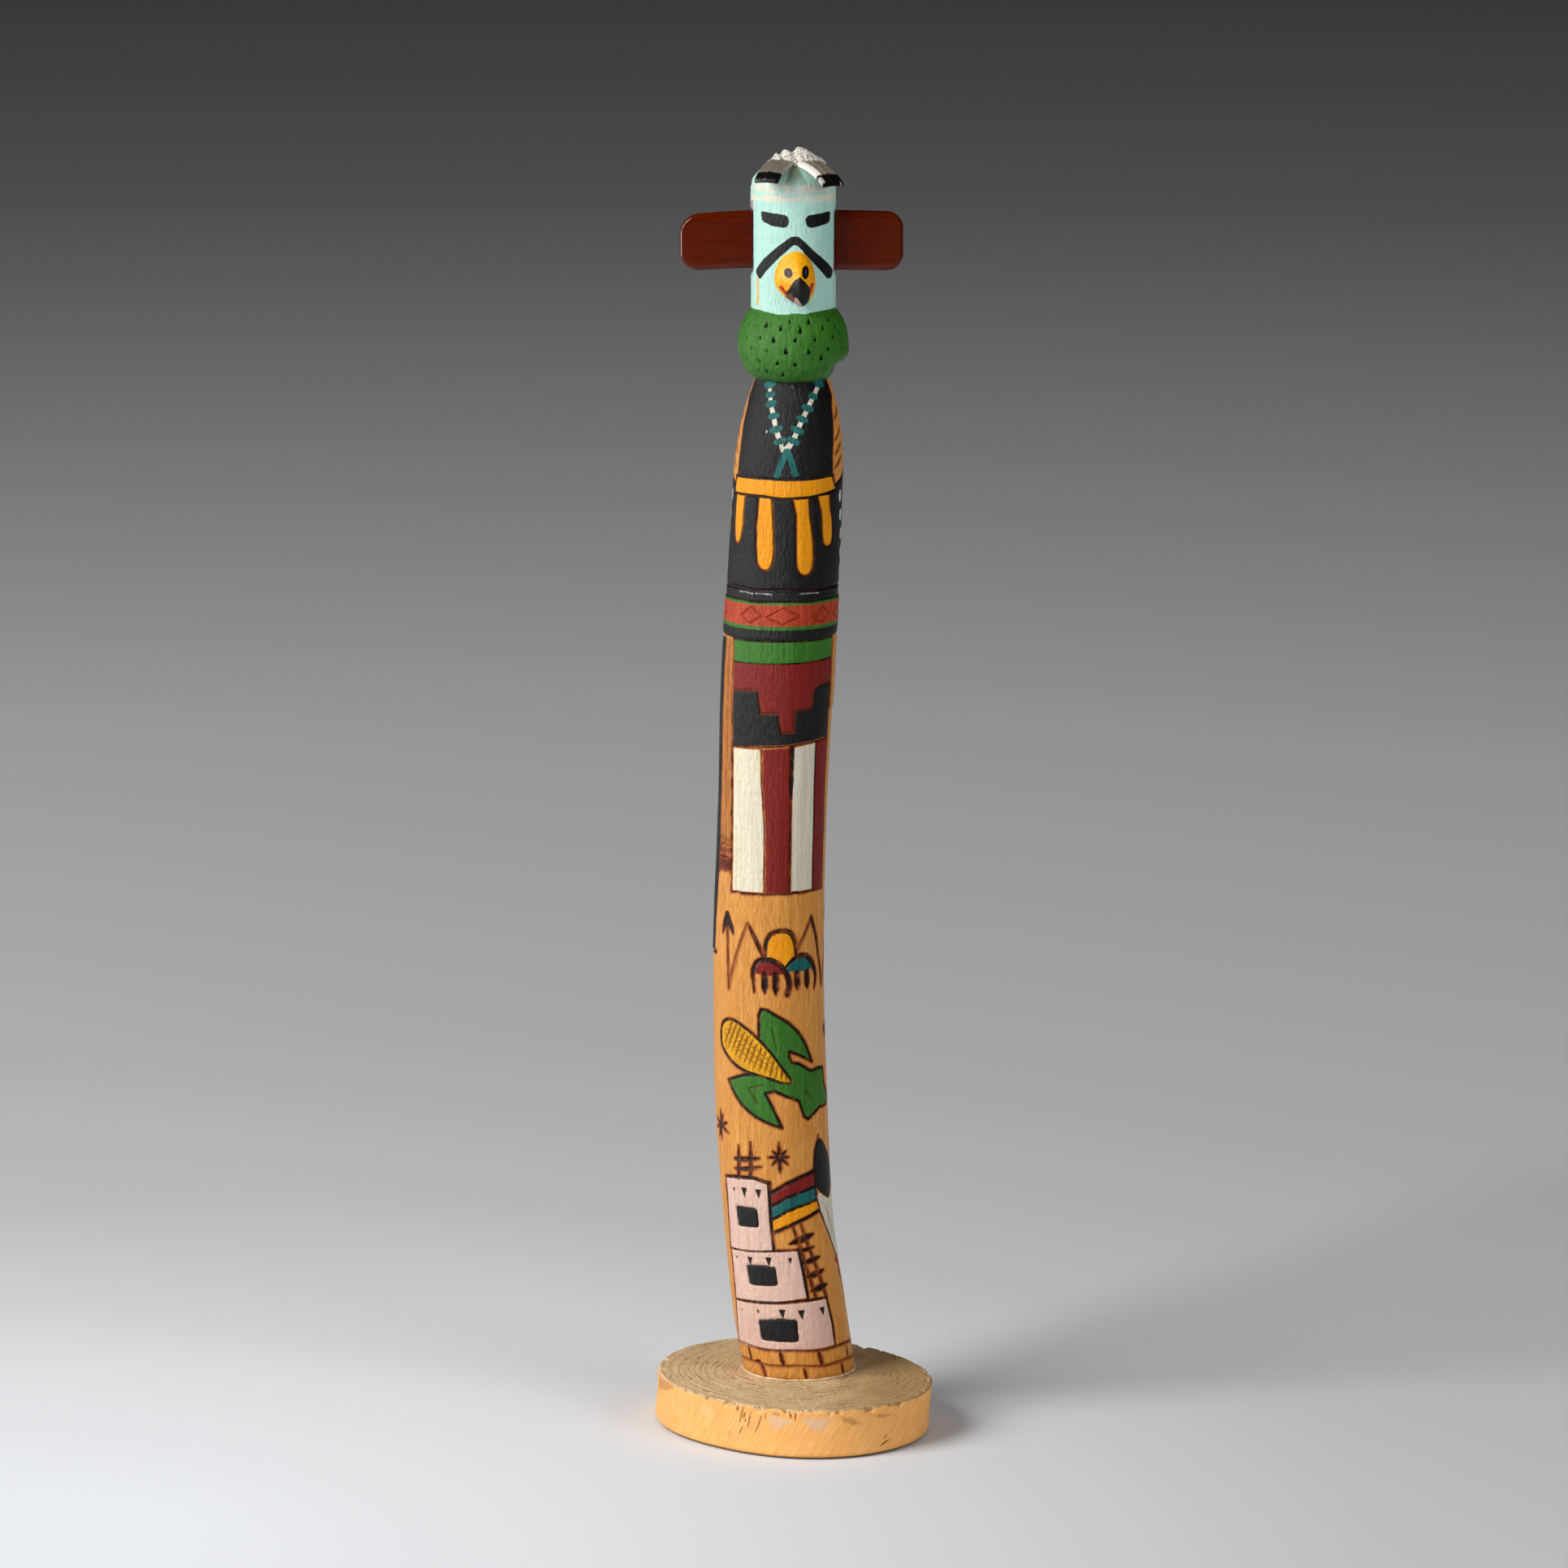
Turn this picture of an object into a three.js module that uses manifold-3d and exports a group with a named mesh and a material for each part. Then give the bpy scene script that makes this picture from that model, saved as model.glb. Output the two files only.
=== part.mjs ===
// A carved kachina doll on a sawn slice of branch, in millimetres, +Z up, facing -Y.
//
// One bowed root carries the whole figure: a wide-eyed cylindrical mask over a fir-green ruff,
// a kilted body and a lower trunk engraved with sky, corn and a stepped village. Two ear
// tablets, a bird-head snout, two crest feathers and a tuft of down are glued on as pieces of
// their own. The origin is the middle of the disk's underside.
import * as THREE from 'three';
import { mergeVertices } from 'three/addons/utils/BufferGeometryUtils.js';
import Module from 'manifold-3d';

const wasm = await Module();
wasm.setup();

// ---------------------------------------------------------------- driving dimensions

const DISK_RADIUS = 41.6; // the mean of the branch's oval outline
const DISK_OVAL = 0.095; // share by which the outline is longer one way and shorter the other
const DISK_LONG_WAY = THREE.MathUtils.degToRad(48.5); // the long way runs to the front right
const DISK_HEIGHT = 16;
const DISK_LEAN = 0.6; // the saw cut isn't square: the top sits this far right, the bottom left
const DISK_ASIDE = -0.9; // the slice's middle lies this far left of the figure's own line
const DISK_RIM = 2.0;
const DISK_SEGMENTS = 40;

const FIGURE_TOP = 393;
const FIGURE_SEGMENTS = 30;
const RING_STEP = 16; // tallest stretch of trunk between two rings of the surface
const TRUNK_DEPTH = 0.94; // front-to-back depth over width
const HEAD_DEPTH = 0.97;
const UNROLL_RADIUS = 17; // places round the trunk are given as arc lengths at this radius

const RUFF_MIDDLE = 338.6;
const RUFF_RADIUS = 16.8;
const RUFF_CORE = 8; // the ruff's bulge springs from inside the neck
const RUFF_DROP = 11.3;
const RUFF_RISE = 12.6;
const RUFF_BOTTOM = 327.9;
const RUFF_TOP = 349.3;

const HEAD_RADIUS = 12.85;
const DOME_HEIGHT = 8;
const DOME_POWER = 2.8;

const BELT_BOTTOM = 249.4;
const BELT_TOP = 261.2;
const BELT_RELIEF = 0.35;

const CUT_WIDTH = 1.0; // an engraved line's width at the surface
const CUT_DEPTH = 0.45;
const PIT_SIZE = 1.5;
const PIT_DEPTH = 1.0;

const EAR_THICKNESS = 3;
const EAR_BOTTOM = 360.6;
const EAR_TOP = 378.8;
const EAR_LEFT_END = -34.9;
const EAR_RIGHT_END = 32.4;
const EAR_FLAT_LEFT = -12.9; // where the mask's sides are pared flat for the ear tablets
const EAR_FLAT_RIGHT = 11.4;

const FEATHER_WIDTH = 8.2;
const FEATHER_THICKNESS = 1.5;
const FEATHER_LENGTH = 18.4;
const GAP = 0.3; // clearance where one piece is cut to fit another
const GLUE_LINE = 0.15;

// ---------------------------------------------------------------- helpers

/** A smooth curve through stations [[at, value], ...], flat beyond both ends. */
function curveThrough(stations) {
  const at = stations.map((station) => station[0]);
  const value = stations.map((station) => station[1]);
  const last = at.length - 1;
  const rise = (i) => (value[i + 1] - value[i]) / (at[i + 1] - at[i]);
  const slope = at.map((_, i) => {
    if (i === 0) return rise(0);
    if (i === last) return rise(last - 1);
    const before = at[i] - at[i - 1];
    const after = at[i + 1] - at[i];
    return (before * rise(i) + after * rise(i - 1)) / (before + after);
  });
  return (where) => {
    if (where <= at[0]) return value[0];
    if (where >= at[last]) return value[last];
    const i = at.findIndex((edge) => edge > where) - 1;
    const span = at[i + 1] - at[i];
    const u = (where - at[i]) / span;
    const near = (1 + 2 * u) * (1 - u) ** 2 * value[i] + u * (1 - u) ** 2 * span * slope[i];
    const far = u * u * (3 - 2 * u) * value[i + 1] + u * u * (u - 1) * span * slope[i + 1];
    return near + far;
  };
}

/** A repeatable number from 0 to 1 for whole numbers a and b. */
function scatter(a, b) {
  const wave = Math.sin(a * 127.1 + b * 311.7) * 43758.5453;
  return wave - Math.floor(wave);
}

/** 0 outside [low, high], 1 inside, with a soft edge of the given width. */
function within(value, low, high, edge) {
  const up = THREE.MathUtils.smoothstep(value, low, low + edge);
  const down = 1 - THREE.MathUtils.smoothstep(value, high - edge, high);
  return up * down;
}

/** A closed three.js geometry as a manifold solid. */
function solidOf(geometry) {
  const bare = geometry.clone();
  bare.deleteAttribute('normal');
  bare.deleteAttribute('uv');
  const merged = mergeVertices(bare, 1e-4);
  const index = merged.index.array;
  const triangles = [];
  for (let i = 0; i < index.length; i += 3) {
    const [a, b, c] = [index[i], index[i + 1], index[i + 2]];
    if (a !== b && b !== c && c !== a) triangles.push(a, b, c);
  }
  return new wasm.Manifold(new wasm.Mesh({
    numProp: 3,
    vertProperties: new Float32Array(merged.attributes.position.array),
    triVerts: new Uint32Array(triangles),
  }));
}

/** A manifold solid as a three.js geometry. */
function geometryOf(solid) {
  const mesh = solid.getMesh();
  const geometry = new THREE.BufferGeometry();
  geometry.setAttribute('position', new THREE.BufferAttribute(mesh.vertProperties, 3));
  geometry.setIndex(new THREE.BufferAttribute(mesh.triVerts, 1));
  geometry.computeVertexNormals();
  return geometry;
}

/** Moves every vertex of a geometry to where place(vector) puts it. */
function reshape(geometry, place) {
  const position = geometry.attributes.position;
  const point = new THREE.Vector3();
  for (let i = 0; i < position.count; i++) {
    point.fromBufferAttribute(position, i);
    place(point);
    position.setXYZ(i, point.x, point.y, point.z);
  }
  return geometry;
}

/** A closed tube of equal rings of points, capped at both ends by fans. */
function loft(rings) {
  const sides = rings[0].length;
  const points = rings.flat();
  const index = [];
  for (let r = 0; r + 1 < rings.length; r++) {
    for (let k = 0; k < sides; k++) {
      const a = r * sides + k;
      const b = r * sides + ((k + 1) % sides);
      index.push(a, b, b + sides, a, b + sides, a + sides);
    }
  }
  const top = (rings.length - 1) * sides;
  for (let k = 1; k + 1 < sides; k++) {
    index.push(0, k + 1, k, top, top + k, top + k + 1);
  }
  const geometry = new THREE.BufferGeometry().setFromPoints(points);
  geometry.setIndex(index);
  return geometry;
}

// ---------------------------------------------------------------- the root's surface

const bow = curveThrough([
  [16, 1.0], [34, -1.8], [54, -4.4], [76, -6.3], [100, -7.6], [148, -8.4],
  [194, -7.2], [240, -5.4], [285, -3.0], [328, -1.2], [393, -0.9],
]);
const setback = curveThrough([[16, 7.2], [100, 6.6], [250, 5.6], [393, 5.6]]);
const trunkWidth = curveThrough([
  [16, 17.3], [28, 17.6], [64, 17.0], [95, 17.35], [150, 17.0], [200, 16.65],
  [238, 17.2], [262, 17.05], [290, 16.8], [305, 16.3], [318, 14.3], [327.9, 11.3],
]);

function ruffWidth(z) {
  const rise = z < RUFF_MIDDLE ? (RUFF_MIDDLE - z) / RUFF_DROP : (z - RUFF_MIDDLE) / RUFF_RISE;
  if (rise >= 1) return 0;
  return RUFF_CORE + (RUFF_RADIUS - RUFF_CORE) * Math.sqrt(1 - rise * rise);
}

function headWidth(z) {
  const rise = Math.min(1, Math.max(0, (z - (FIGURE_TOP - DOME_HEIGHT)) / DOME_HEIGHT));
  return HEAD_RADIUS * (1 - rise ** DOME_POWER) ** (1 / DOME_POWER);
}

/** Half the figure's width at a height, before any relief. */
function halfWidth(z) {
  if (z <= RUFF_BOTTOM) return trunkWidth(z);
  if (z < RUFF_TOP) return Math.max(ruffWidth(z), trunkWidth(RUFF_BOTTOM));
  return headWidth(z);
}

const depthRatio = (z) => (z < RUFF_BOTTOM ? TRUNK_DEPTH : HEAD_DEPTH);

// Grooves cut all round the trunk: brick courses, the line over the belt and the belt's edges.
const RING_CUTS = [20.4, 25.5, BELT_BOTTOM, BELT_TOP, 264.9];

/** Height of the raised carving over the bare trunk, at an angle from the front. */
function relief(angle, z) {
  const belt = BELT_RELIEF * within(z, BELT_BOTTOM, BELT_TOP, 0.01);
  const degrees = THREE.MathUtils.radToDeg(angle);
  const sash = 0.7 * within(degrees, 66, 112, 6) * within(z, 226, 249, 1);
  const round = (degrees + 360) % 360;
  const mantle = 0.6 * within(round, 116, 284, 6) * within(z, 149.5, 249, 1);
  return belt + Math.max(sash, mantle);
}

/** The point on the figure at an angle from the front and a height, pushed out by lift. */
function surfacePoint(angle, z, lift = 0) {
  const radius = halfWidth(z) + lift;
  return new THREE.Vector3(
    bow(z) + radius * Math.sin(angle),
    setback(z) - depthRatio(z) * radius * Math.cos(angle),
    z,
  );
}

// ---------------------------------------------------------------- figure body

/** Heights of the surface's rings, close together where the profile turns or is cut. */
function ringHeights() {
  const heights = [DISK_HEIGHT];
  const corners = [
    ...RING_CUTS.flatMap((z) => [z - CUT_WIDTH / 2, z, z + CUT_WIDTH / 2]),
    149.5, 150.5, 226, 227, 248, 305, 312, 318, 323, RUFF_BOTTOM,
    328.6, 330, 332, 334.8, RUFF_MIDDLE, 342.5, 346, 348, RUFF_TOP,
    368, FIGURE_TOP - DOME_HEIGHT, 388.2, 390.5, 392, 392.8,
  ].sort((a, b) => a - b);
  for (const corner of corners) {
    const from = heights[heights.length - 1];
    const count = Math.max(1, Math.ceil((corner - from) / RING_STEP));
    for (let i = 1; i <= count; i++) heights.push(from + ((corner - from) * i) / count);
  }
  return heights;
}

function trunkAndMask() {
  const heights = ringHeights();
  const profile = [
    new THREE.Vector2(0, DISK_HEIGHT),
    ...heights.map((z) => new THREE.Vector2(1, z)),
    new THREE.Vector2(0, FIGURE_TOP),
  ];
  const geometry = new THREE.LatheGeometry(profile, FIGURE_SEGMENTS);
  return reshape(geometry, (point) => {
    const z = point.y;
    const onAxis = Math.hypot(point.x, point.z) < 0.5;
    const angle = Math.atan2(point.x, point.z);
    if (onAxis) {
      point.set(bow(z), setback(z), z);
      return;
    }
    const cut = RING_CUTS.some((height) => Math.abs(height - z) < 1e-6) ? CUT_DEPTH : 0;
    point.copy(surfacePoint(angle, z, relief(angle, z) - cut));
  });
}

// ---------------------------------------------------------------- engraved lines

/**
 * A V-shaped cutter that follows a line over the trunk. The line's corners are
 * [around, height] pairs, with around as an arc length from the front.
 */
function engraving(corners, closed = false) {
  const path = closed ? [...corners, corners[0]] : corners;
  const cutters = [];
  for (let i = 0; i + 1 < path.length; i++) {
    const from = new THREE.Vector2(...path[i]);
    const to = new THREE.Vector2(...path[i + 1]);
    const run = Math.abs(to.x - from.x);
    const along = to.clone().sub(from).normalize();
    const overrun = CUT_WIDTH * 0.3;
    from.addScaledVector(along, -overrun);
    to.addScaledVector(along, overrun);
    const steps = Math.max(1, Math.ceil(run / 4.5), Math.ceil(from.distanceTo(to) / 16));
    const rings = [];
    for (let k = 0; k <= steps; k++) {
      const place = from.clone().lerp(to, k / steps);
      const side = new THREE.Vector2(-along.y, along.x);
      const top = CUT_DEPTH * 1.6;
      const reach = (CUT_WIDTH / 2) * (1 + top / CUT_DEPTH);
      const corner = (offset, lift) => {
        const around = place.x + side.x * offset;
        const height = place.y + side.y * offset;
        return surfacePoint(around / UNROLL_RADIUS, height, lift + liftUnder(around, height));
      };
      rings.push([corner(0, -CUT_DEPTH), corner(reach, top), corner(-reach, top)]);
    }
    cutters.push(solidOf(loft(rings)));
  }
  return cutters;
}

const liftUnder = (around, height) => relief(around / UNROLL_RADIUS, height);

/** Lines of the yoke's band and of the kilt with its stepped border. */
function dressLines() {
  const [yokeLeft, yokeRight] = [-20.5, 17];
  const [kiltTop, kiltBottom] = [248.5, 170.2];
  const kiltLeft = (z) => -13 - (z - kiltBottom) * 0.034;
  const kiltRight = (z) => 21 - (z - kiltBottom) * 0.016;
  return [
    engraving([[yokeLeft, 298.8], [yokeRight, 298.8]]),
    engraving([[yokeLeft, 293.8], [yokeRight, 293.8]]),
    engraving([
      [kiltLeft(kiltTop), kiltTop], [kiltLeft(kiltBottom), kiltBottom],
      [kiltRight(kiltBottom), kiltBottom], [kiltRight(kiltTop), kiltTop],
    ]),
    engraving([
      [-15.2, 233.8], [-6, 233.8], [-5, 227], [0.6, 227], [1.8, 221], [5.6, 221],
      [5.8, 228], [11.8, 228], [12, 234.6], [20, 234.6],
    ]),
    engraving([[-14.6, 216.2], [20.2, 217.6]]),
  ].flat();
}

/** Lines of the ear of corn and its three leaves. */
function cornLines() {
  const ear = [
    [-17.4, 126], [-13.5, 130], [-8.3, 128.7], [0.5, 120.8],
    [7.2, 110.6], [-7.2, 114.3], [-16, 119.8],
  ];
  const upperLeaf = [[-2.9, 125], [-2.5, 134], [9.2, 126.6], [14.3, 116.8], [7, 119]];
  const stem = [[7, 119], [13.9, 113.9], [21, 113], [24, 102.5], [12.1, 99], [7, 106]];
  const lowerLeaf = [[-3.3, 113.2], [-14, 110.8], [-9, 103.5], [3, 97.1], [-1.5, 107.4], [7, 106]];
  return [
    engraving(ear, true), engraving(upperLeaf), engraving(stem), engraving(lowerLeaf),
  ].flat();
}

/** Lines of the village's three stepped blocks. */
function villageLines() {
  const blocks = [
    [[-19, 56.5], [-18.2, 79], [-6.7, 80.4], [-2, 79.2], [-2.1, 57.8]],
    [[-19.4, 40], [-18.7, 56.3], [5.7, 57.4], [6.5, 42]],
    [[-22.4, 25.5], [-19.3, 39.6], [13.6, 41], [13.8, 25.5]],
  ];
  return blocks.flatMap((corners) => engraving(corners));
}

/** Three-cornered pits punched all over the ruff. */
function ruffPits() {
  const pits = [];
  const rows = [331, 334.3, 337.6, 341, 344.4, 347.3];
  rows.forEach((row, r) => {
    const count = r === 0 || r === rows.length - 1 ? 12 : 14;
    for (let k = 0; k < count; k++) {
      const turn = (k + (r % 2) / 2 + 0.5 * (scatter(r, k) - 0.5)) / count;
      const angle = (turn - 0.5) * 2 * Math.PI;
      const z = row + 1.6 * (scatter(k, r + 7) - 0.5);
      const pit = new THREE.ConeGeometry(PIT_SIZE, 2 * PIT_DEPTH, 3);
      pit.rotateX(-Math.PI / 2);
      const centre = surfacePoint(angle, z, 0);
      const ahead = surfacePoint(angle, z, 1).sub(centre).normalize();
      ahead.z = Math.min(0.6, Math.max(-0.6, (z - RUFF_MIDDLE) / 12));
      pit.applyQuaternion(new THREE.Quaternion().setFromUnitVectors(
        new THREE.Vector3(0, 0, 1), ahead.normalize()));
      pit.translate(centre.x, centre.y, centre.z);
      pits.push(solidOf(pit));
    }
  });
  return pits;
}

/** Slabs that pare the mask's sides flat where the ear tablets are glued on. */
function earFlats() {
  const size = 20;
  const tall = EAR_TOP - EAR_BOTTOM + 2;
  const middle = (EAR_TOP + EAR_BOTTOM) / 2;
  return [[EAR_FLAT_LEFT, -1], [EAR_FLAT_RIGHT, 1]].map(([face, side]) => {
    const slab = new THREE.BoxGeometry(size, size, tall);
    slab.translate(face + (side * size) / 2, setback(middle), middle);
    return solidOf(slab);
  });
}

function figureSolid() {
  const cutters = [
    ...dressLines(), ...cornLines(), ...villageLines(), ...ruffPits(), ...earFlats(),
  ];
  return solidOf(trunkAndMask()).subtract(wasm.Manifold.union(cutters));
}

// ---------------------------------------------------------------- base disk

/** The slice of branch: an oval with its long way to the front right, leaning, with a worn rim. */
function diskGeometry() {
  const half = DISK_HEIGHT / 2;
  const corner = (fromX, fromY, radius, start) => [0, 1, 2].map((i) => {
    const turn = start + (i * Math.PI) / 4;
    return new THREE.Vector2(fromX + radius * Math.cos(turn), fromY + radius * Math.sin(turn));
  });
  const profile = [
    new THREE.Vector2(0, 0),
    ...corner(DISK_RADIUS - DISK_RIM, DISK_RIM, DISK_RIM, -Math.PI / 2),
    new THREE.Vector2(DISK_RADIUS - 0.2, half),
    ...corner(DISK_RADIUS - 1, DISK_HEIGHT - 1, 1, 0),
    new THREE.Vector2(0, DISK_HEIGHT),
  ];
  return reshape(new THREE.LatheGeometry(profile, DISK_SEGMENTS), (point) => {
    const z = point.y;
    const angle = Math.atan2(point.x, point.z);
    const radius = Math.hypot(point.x, point.z);
    const uneven = 1 + DISK_OVAL * Math.cos(2 * (angle - DISK_LONG_WAY)) + 0.003 * Math.cos(5 * angle);
    const lean = DISK_ASIDE + DISK_LEAN * ((z - half) / half) * (radius / DISK_RADIUS);
    const reach = radius * uneven;
    point.set(reach * Math.sin(angle) + lean, -reach * Math.cos(angle), z);
  });
}

// ---------------------------------------------------------------- glued-on pieces

/** One ear tablet: a thin board with a blunt rounded end, glued on edge to the mask. */
function earGeometry(face, end) {
  const side = Math.sign(end - face);
  const inner = face + side * GLUE_LINE;
  const bevel = 0.7;
  const tip = end - side * bevel;
  const knee = tip - side * 4.2;
  const low = EAR_BOTTOM + bevel;
  const high = EAR_TOP - bevel;
  const outline = new THREE.Shape();
  outline.moveTo(inner, low + 0.8);
  outline.lineTo(knee, low);
  outline.quadraticCurveTo(tip - side * 0.6, low, tip, low + 4.2);
  outline.lineTo(tip, high - 4.2);
  outline.quadraticCurveTo(tip - side * 0.4, high - 0.4, knee, high - 0.4);
  outline.lineTo(inner, high);
  const board = new THREE.ExtrudeGeometry(outline, {
    depth: EAR_THICKNESS - 2 * bevel,
    bevelThickness: bevel,
    bevelSize: bevel,
    bevelSegments: 2,
    curveSegments: 5,
  });
  board.rotateX(Math.PI / 2);
  board.translate(0, setback(FIGURE_TOP) + EAR_THICKNESS / 2 - bevel, 0);
  return reshape(board, (point) => {
    if ((point.x - inner) * side < 0) point.x = inner;
  });
}

/** The bird-head snout: a keeled egg that tapers to a hooked beak, flat behind. */
function snoutSolid(mask) {
  const centre = new THREE.Vector3(-0.3, setback(360) - HEAD_DEPTH * HEAD_RADIUS + 1.2, 360.6);
  const egg = new THREE.SphereGeometry(1, 18, 12);
  egg.rotateX(Math.PI / 2);
  reshape(egg, (point) => {
    const height = point.z;
    const width = 6.2 * (1 - 0.12 * height - 0.18 * Math.max(0, -height) ** 2);
    const nose = 7.6 * (1 - 0.28 * (height + 0.25) ** 2) * (height > 0 ? 1 - 0.34 * height : 1);
    const keel = 1 - 0.2 * Math.min(1, Math.abs(point.x) * 1.6);
    const forward = point.y < 0 ? nose * keel : 3;
    point.set(centre.x + point.x * width, centre.y + point.y * forward, centre.z + 8.3 * height);
  });
  const bed = reshape(mask.clone(), (point) => {
    const scale = 1 + GAP / HEAD_RADIUS;
    point.x = bow(point.z) + (point.x - bow(point.z)) * scale;
    point.y = setback(point.z) + (point.y - setback(point.z)) * scale;
  });
  return solidOf(egg).subtract(solidOf(bed));
}

/** Where a crest feather's middle line runs: sideways lean, root and drop to the tip. */
const FEATHERS = {
  left: { lean: -16.5, root: [-3.9, 5.2], drop: 3.8, limit: [-Infinity, 0.2] },
  right: { lean: 31.5, root: [1.6, 5.2], drop: 5.2, limit: [0.2 + GAP, Infinity] },
};

/** One crest feather as a carved strip that bends down over the brow; grow widens it. */
function featherGeometry({ lean, root, drop, limit }, grow = 0) {
  const turn = THREE.MathUtils.degToRad(lean);
  const strip = new THREE.BoxGeometry(
    FEATHER_WIDTH + 2 * grow, FEATHER_LENGTH + grow, FEATHER_THICKNESS + 2 * grow, 4, 6, 1);
  return reshape(strip, (point) => {
    const along = FEATHER_LENGTH / 2 - point.y;
    const share = along / FEATHER_LENGTH;
    const across = point.x * (1 - 0.1 * share);
    const x = root[0] + along * Math.sin(turn) + across * Math.cos(turn);
    const y = root[1] - along * Math.cos(turn) + across * Math.sin(turn);
    const low = FIGURE_TOP + GAP + FEATHER_THICKNESS / 2 - drop * Math.max(0, share) ** 2.4;
    const crown = -0.02 * across * across;
    point.set(Math.min(limit[1] + grow, Math.max(limit[0] - grow, x)), y, low + point.z + crown);
  });
}

/** The tuft of down: a lumpy cushion over the feathers' roots. */
function tuftSolid(mask) {
  const lump = new THREE.IcosahedronGeometry(1, 3);
  reshape(lump, (point) => {
    const { x, y, z } = point;
    const bumps = 0.07 * Math.sin(7 * x + 2 * y) + 0.06 * Math.sin(6 * y - 3 * z)
      + 0.05 * Math.cos(9 * z + 4 * x);
    const swell = 1 + bumps;
    point.set(-0.5 + 8.2 * x * swell, 6.8 + 6.4 * y * swell, 394.6 + 3.4 * z * swell);
  });
  const bed = reshape(mask.clone(), (point) => { point.z += GAP; });
  const cut = wasm.Manifold.union([
    solidOf(bed),
    solidOf(featherGeometry(FEATHERS.left, GAP)),
    solidOf(featherGeometry(FEATHERS.right, GAP)),
  ]);
  const pieces = solidOf(lump).subtract(cut).decompose();
  return pieces.sort((a, b) => b.volume() - a.volume())[0];
}

// ---------------------------------------------------------------- the doll

const finishes = {
  root: { color: 0xd9a05a, roughness: 0.6 },
  branch: { color: 0xd2a468, roughness: 0.75 },
  varnished: { color: 0x4a1508, roughness: 0.25 },
  snout: { color: 0xe09a1c, roughness: 0.45 },
  feather: { color: 0x77736a, roughness: 0.5 },
  down: { color: 0xddd8cc, roughness: 0.95 },
};

function addPiece(group, name, geometry, finish) {
  const material = new THREE.MeshStandardMaterial({ ...finishes[finish], metalness: 0 });
  const mesh = new THREE.Mesh(geometry, material);
  mesh.name = name;
  group.add(mesh);
}

const doll = new THREE.Group();
const mask = trunkAndMask();
addPiece(doll, 'base_disk', diskGeometry(), 'branch');
addPiece(doll, 'figure', geometryOf(figureSolid()), 'root');
addPiece(doll, 'ear_left', earGeometry(EAR_FLAT_LEFT, EAR_LEFT_END), 'varnished');
addPiece(doll, 'ear_right', earGeometry(EAR_FLAT_RIGHT, EAR_RIGHT_END), 'varnished');
addPiece(doll, 'bird_snout', geometryOf(snoutSolid(mask)), 'snout');
addPiece(doll, 'feather_left', featherGeometry(FEATHERS.left), 'feather');
addPiece(doll, 'feather_right', featherGeometry(FEATHERS.right), 'feather');
addPiece(doll, 'down_tuft', geometryOf(tuftSolid(mask)), 'down');

export default doll;
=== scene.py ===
"""The looks of a carved and painted root kachina doll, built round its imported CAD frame.

Lengths are in millimetres until a mesh is made. A place on the root is (around, height): the arc
length from the front at 17 mm radius, positive to the viewer's right, and the height over the floor.
"""
import math

import bpy
import numpy as np
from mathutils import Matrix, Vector, noise


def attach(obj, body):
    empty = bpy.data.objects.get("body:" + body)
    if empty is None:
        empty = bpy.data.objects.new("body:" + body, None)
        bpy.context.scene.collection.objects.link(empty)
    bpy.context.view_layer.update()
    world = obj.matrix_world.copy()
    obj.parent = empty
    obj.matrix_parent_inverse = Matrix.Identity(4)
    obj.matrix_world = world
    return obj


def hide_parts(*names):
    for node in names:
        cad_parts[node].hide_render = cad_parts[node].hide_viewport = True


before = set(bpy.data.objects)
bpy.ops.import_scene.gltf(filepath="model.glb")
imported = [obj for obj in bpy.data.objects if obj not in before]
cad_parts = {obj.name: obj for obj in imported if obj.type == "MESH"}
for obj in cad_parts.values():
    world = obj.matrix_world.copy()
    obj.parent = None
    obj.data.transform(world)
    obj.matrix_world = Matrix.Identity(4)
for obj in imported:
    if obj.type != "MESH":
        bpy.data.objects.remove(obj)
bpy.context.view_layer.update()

MM = 0.001
TAU = 2 * math.pi

# ---------------------------------------------------------------- driving dimensions

DISK_RADIUS = 41.6
DISK_OVAL = 0.095
DISK_LONG_WAY = math.radians(48.5)
DISK_HEIGHT = 16.0
DISK_LEAN = 0.6
DISK_ASIDE = -0.9
DISK_WAIST = 0.2
DISK_ROUNDING = (2.0, 1.0)  # lower and upper edge
DISK_HEART = (-4, 4, 0)  # where the year rings centre
DISK_STEPS = 640
FIGURE_TOP = 393.0
TRUNK_DEPTH = 0.94
HEAD_DEPTH = 0.97
UNROLL = 17.0

RUFF_MIDDLE = 338.6
RUFF_RADIUS = 16.8
RUFF_CORE = 8.0
RUFF_DROP = 11.3
RUFF_RISE = 12.6
RUFF_BOTTOM = 327.9
RUFF_TOP = 349.3
HEAD_RADIUS = 12.85
DOME_HEIGHT = 8.0
DOME_POWER = 2.8

BELT_BOTTOM = 249.4
BELT_TOP = 261.2
EAR_FLATS = (-12.9, 11.4)  # where the ears are glued on: across, left and right
EAR_BOTTOM, EAR_TOP, EAR_THICKNESS, EAR_EDGE = 360.6, 378.8, 3.0, 1.4
EARS = {  # inner end, outer end, how much lower that end hangs, rounding of its corners
    "left": (EAR_FLATS[0], -35.3, 1.5, 6.0),
    "right": (EAR_FLATS[1], 32.4, 0.4, 5.2),
}
SNOUT_HALF_WIDTH, SNOUT_FORWARD, SNOUT_HALF_HEIGHT = 6.15, 7.3, 8.25
FEATHER_WIDTH, FEATHER_THICKNESS, FEATHER_LENGTH = 8.2, 1.5, 18.4
TUFT_MIDDLE, TUFT_HALF_WIDTH, TUFT_HALF_DEPTH, TUFT_TOP = (-0.2, 6.8, 393.1), 9.1, 5.9, 397.95

# ---------------------------------------------------------------- camera, light and backdrop

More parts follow.
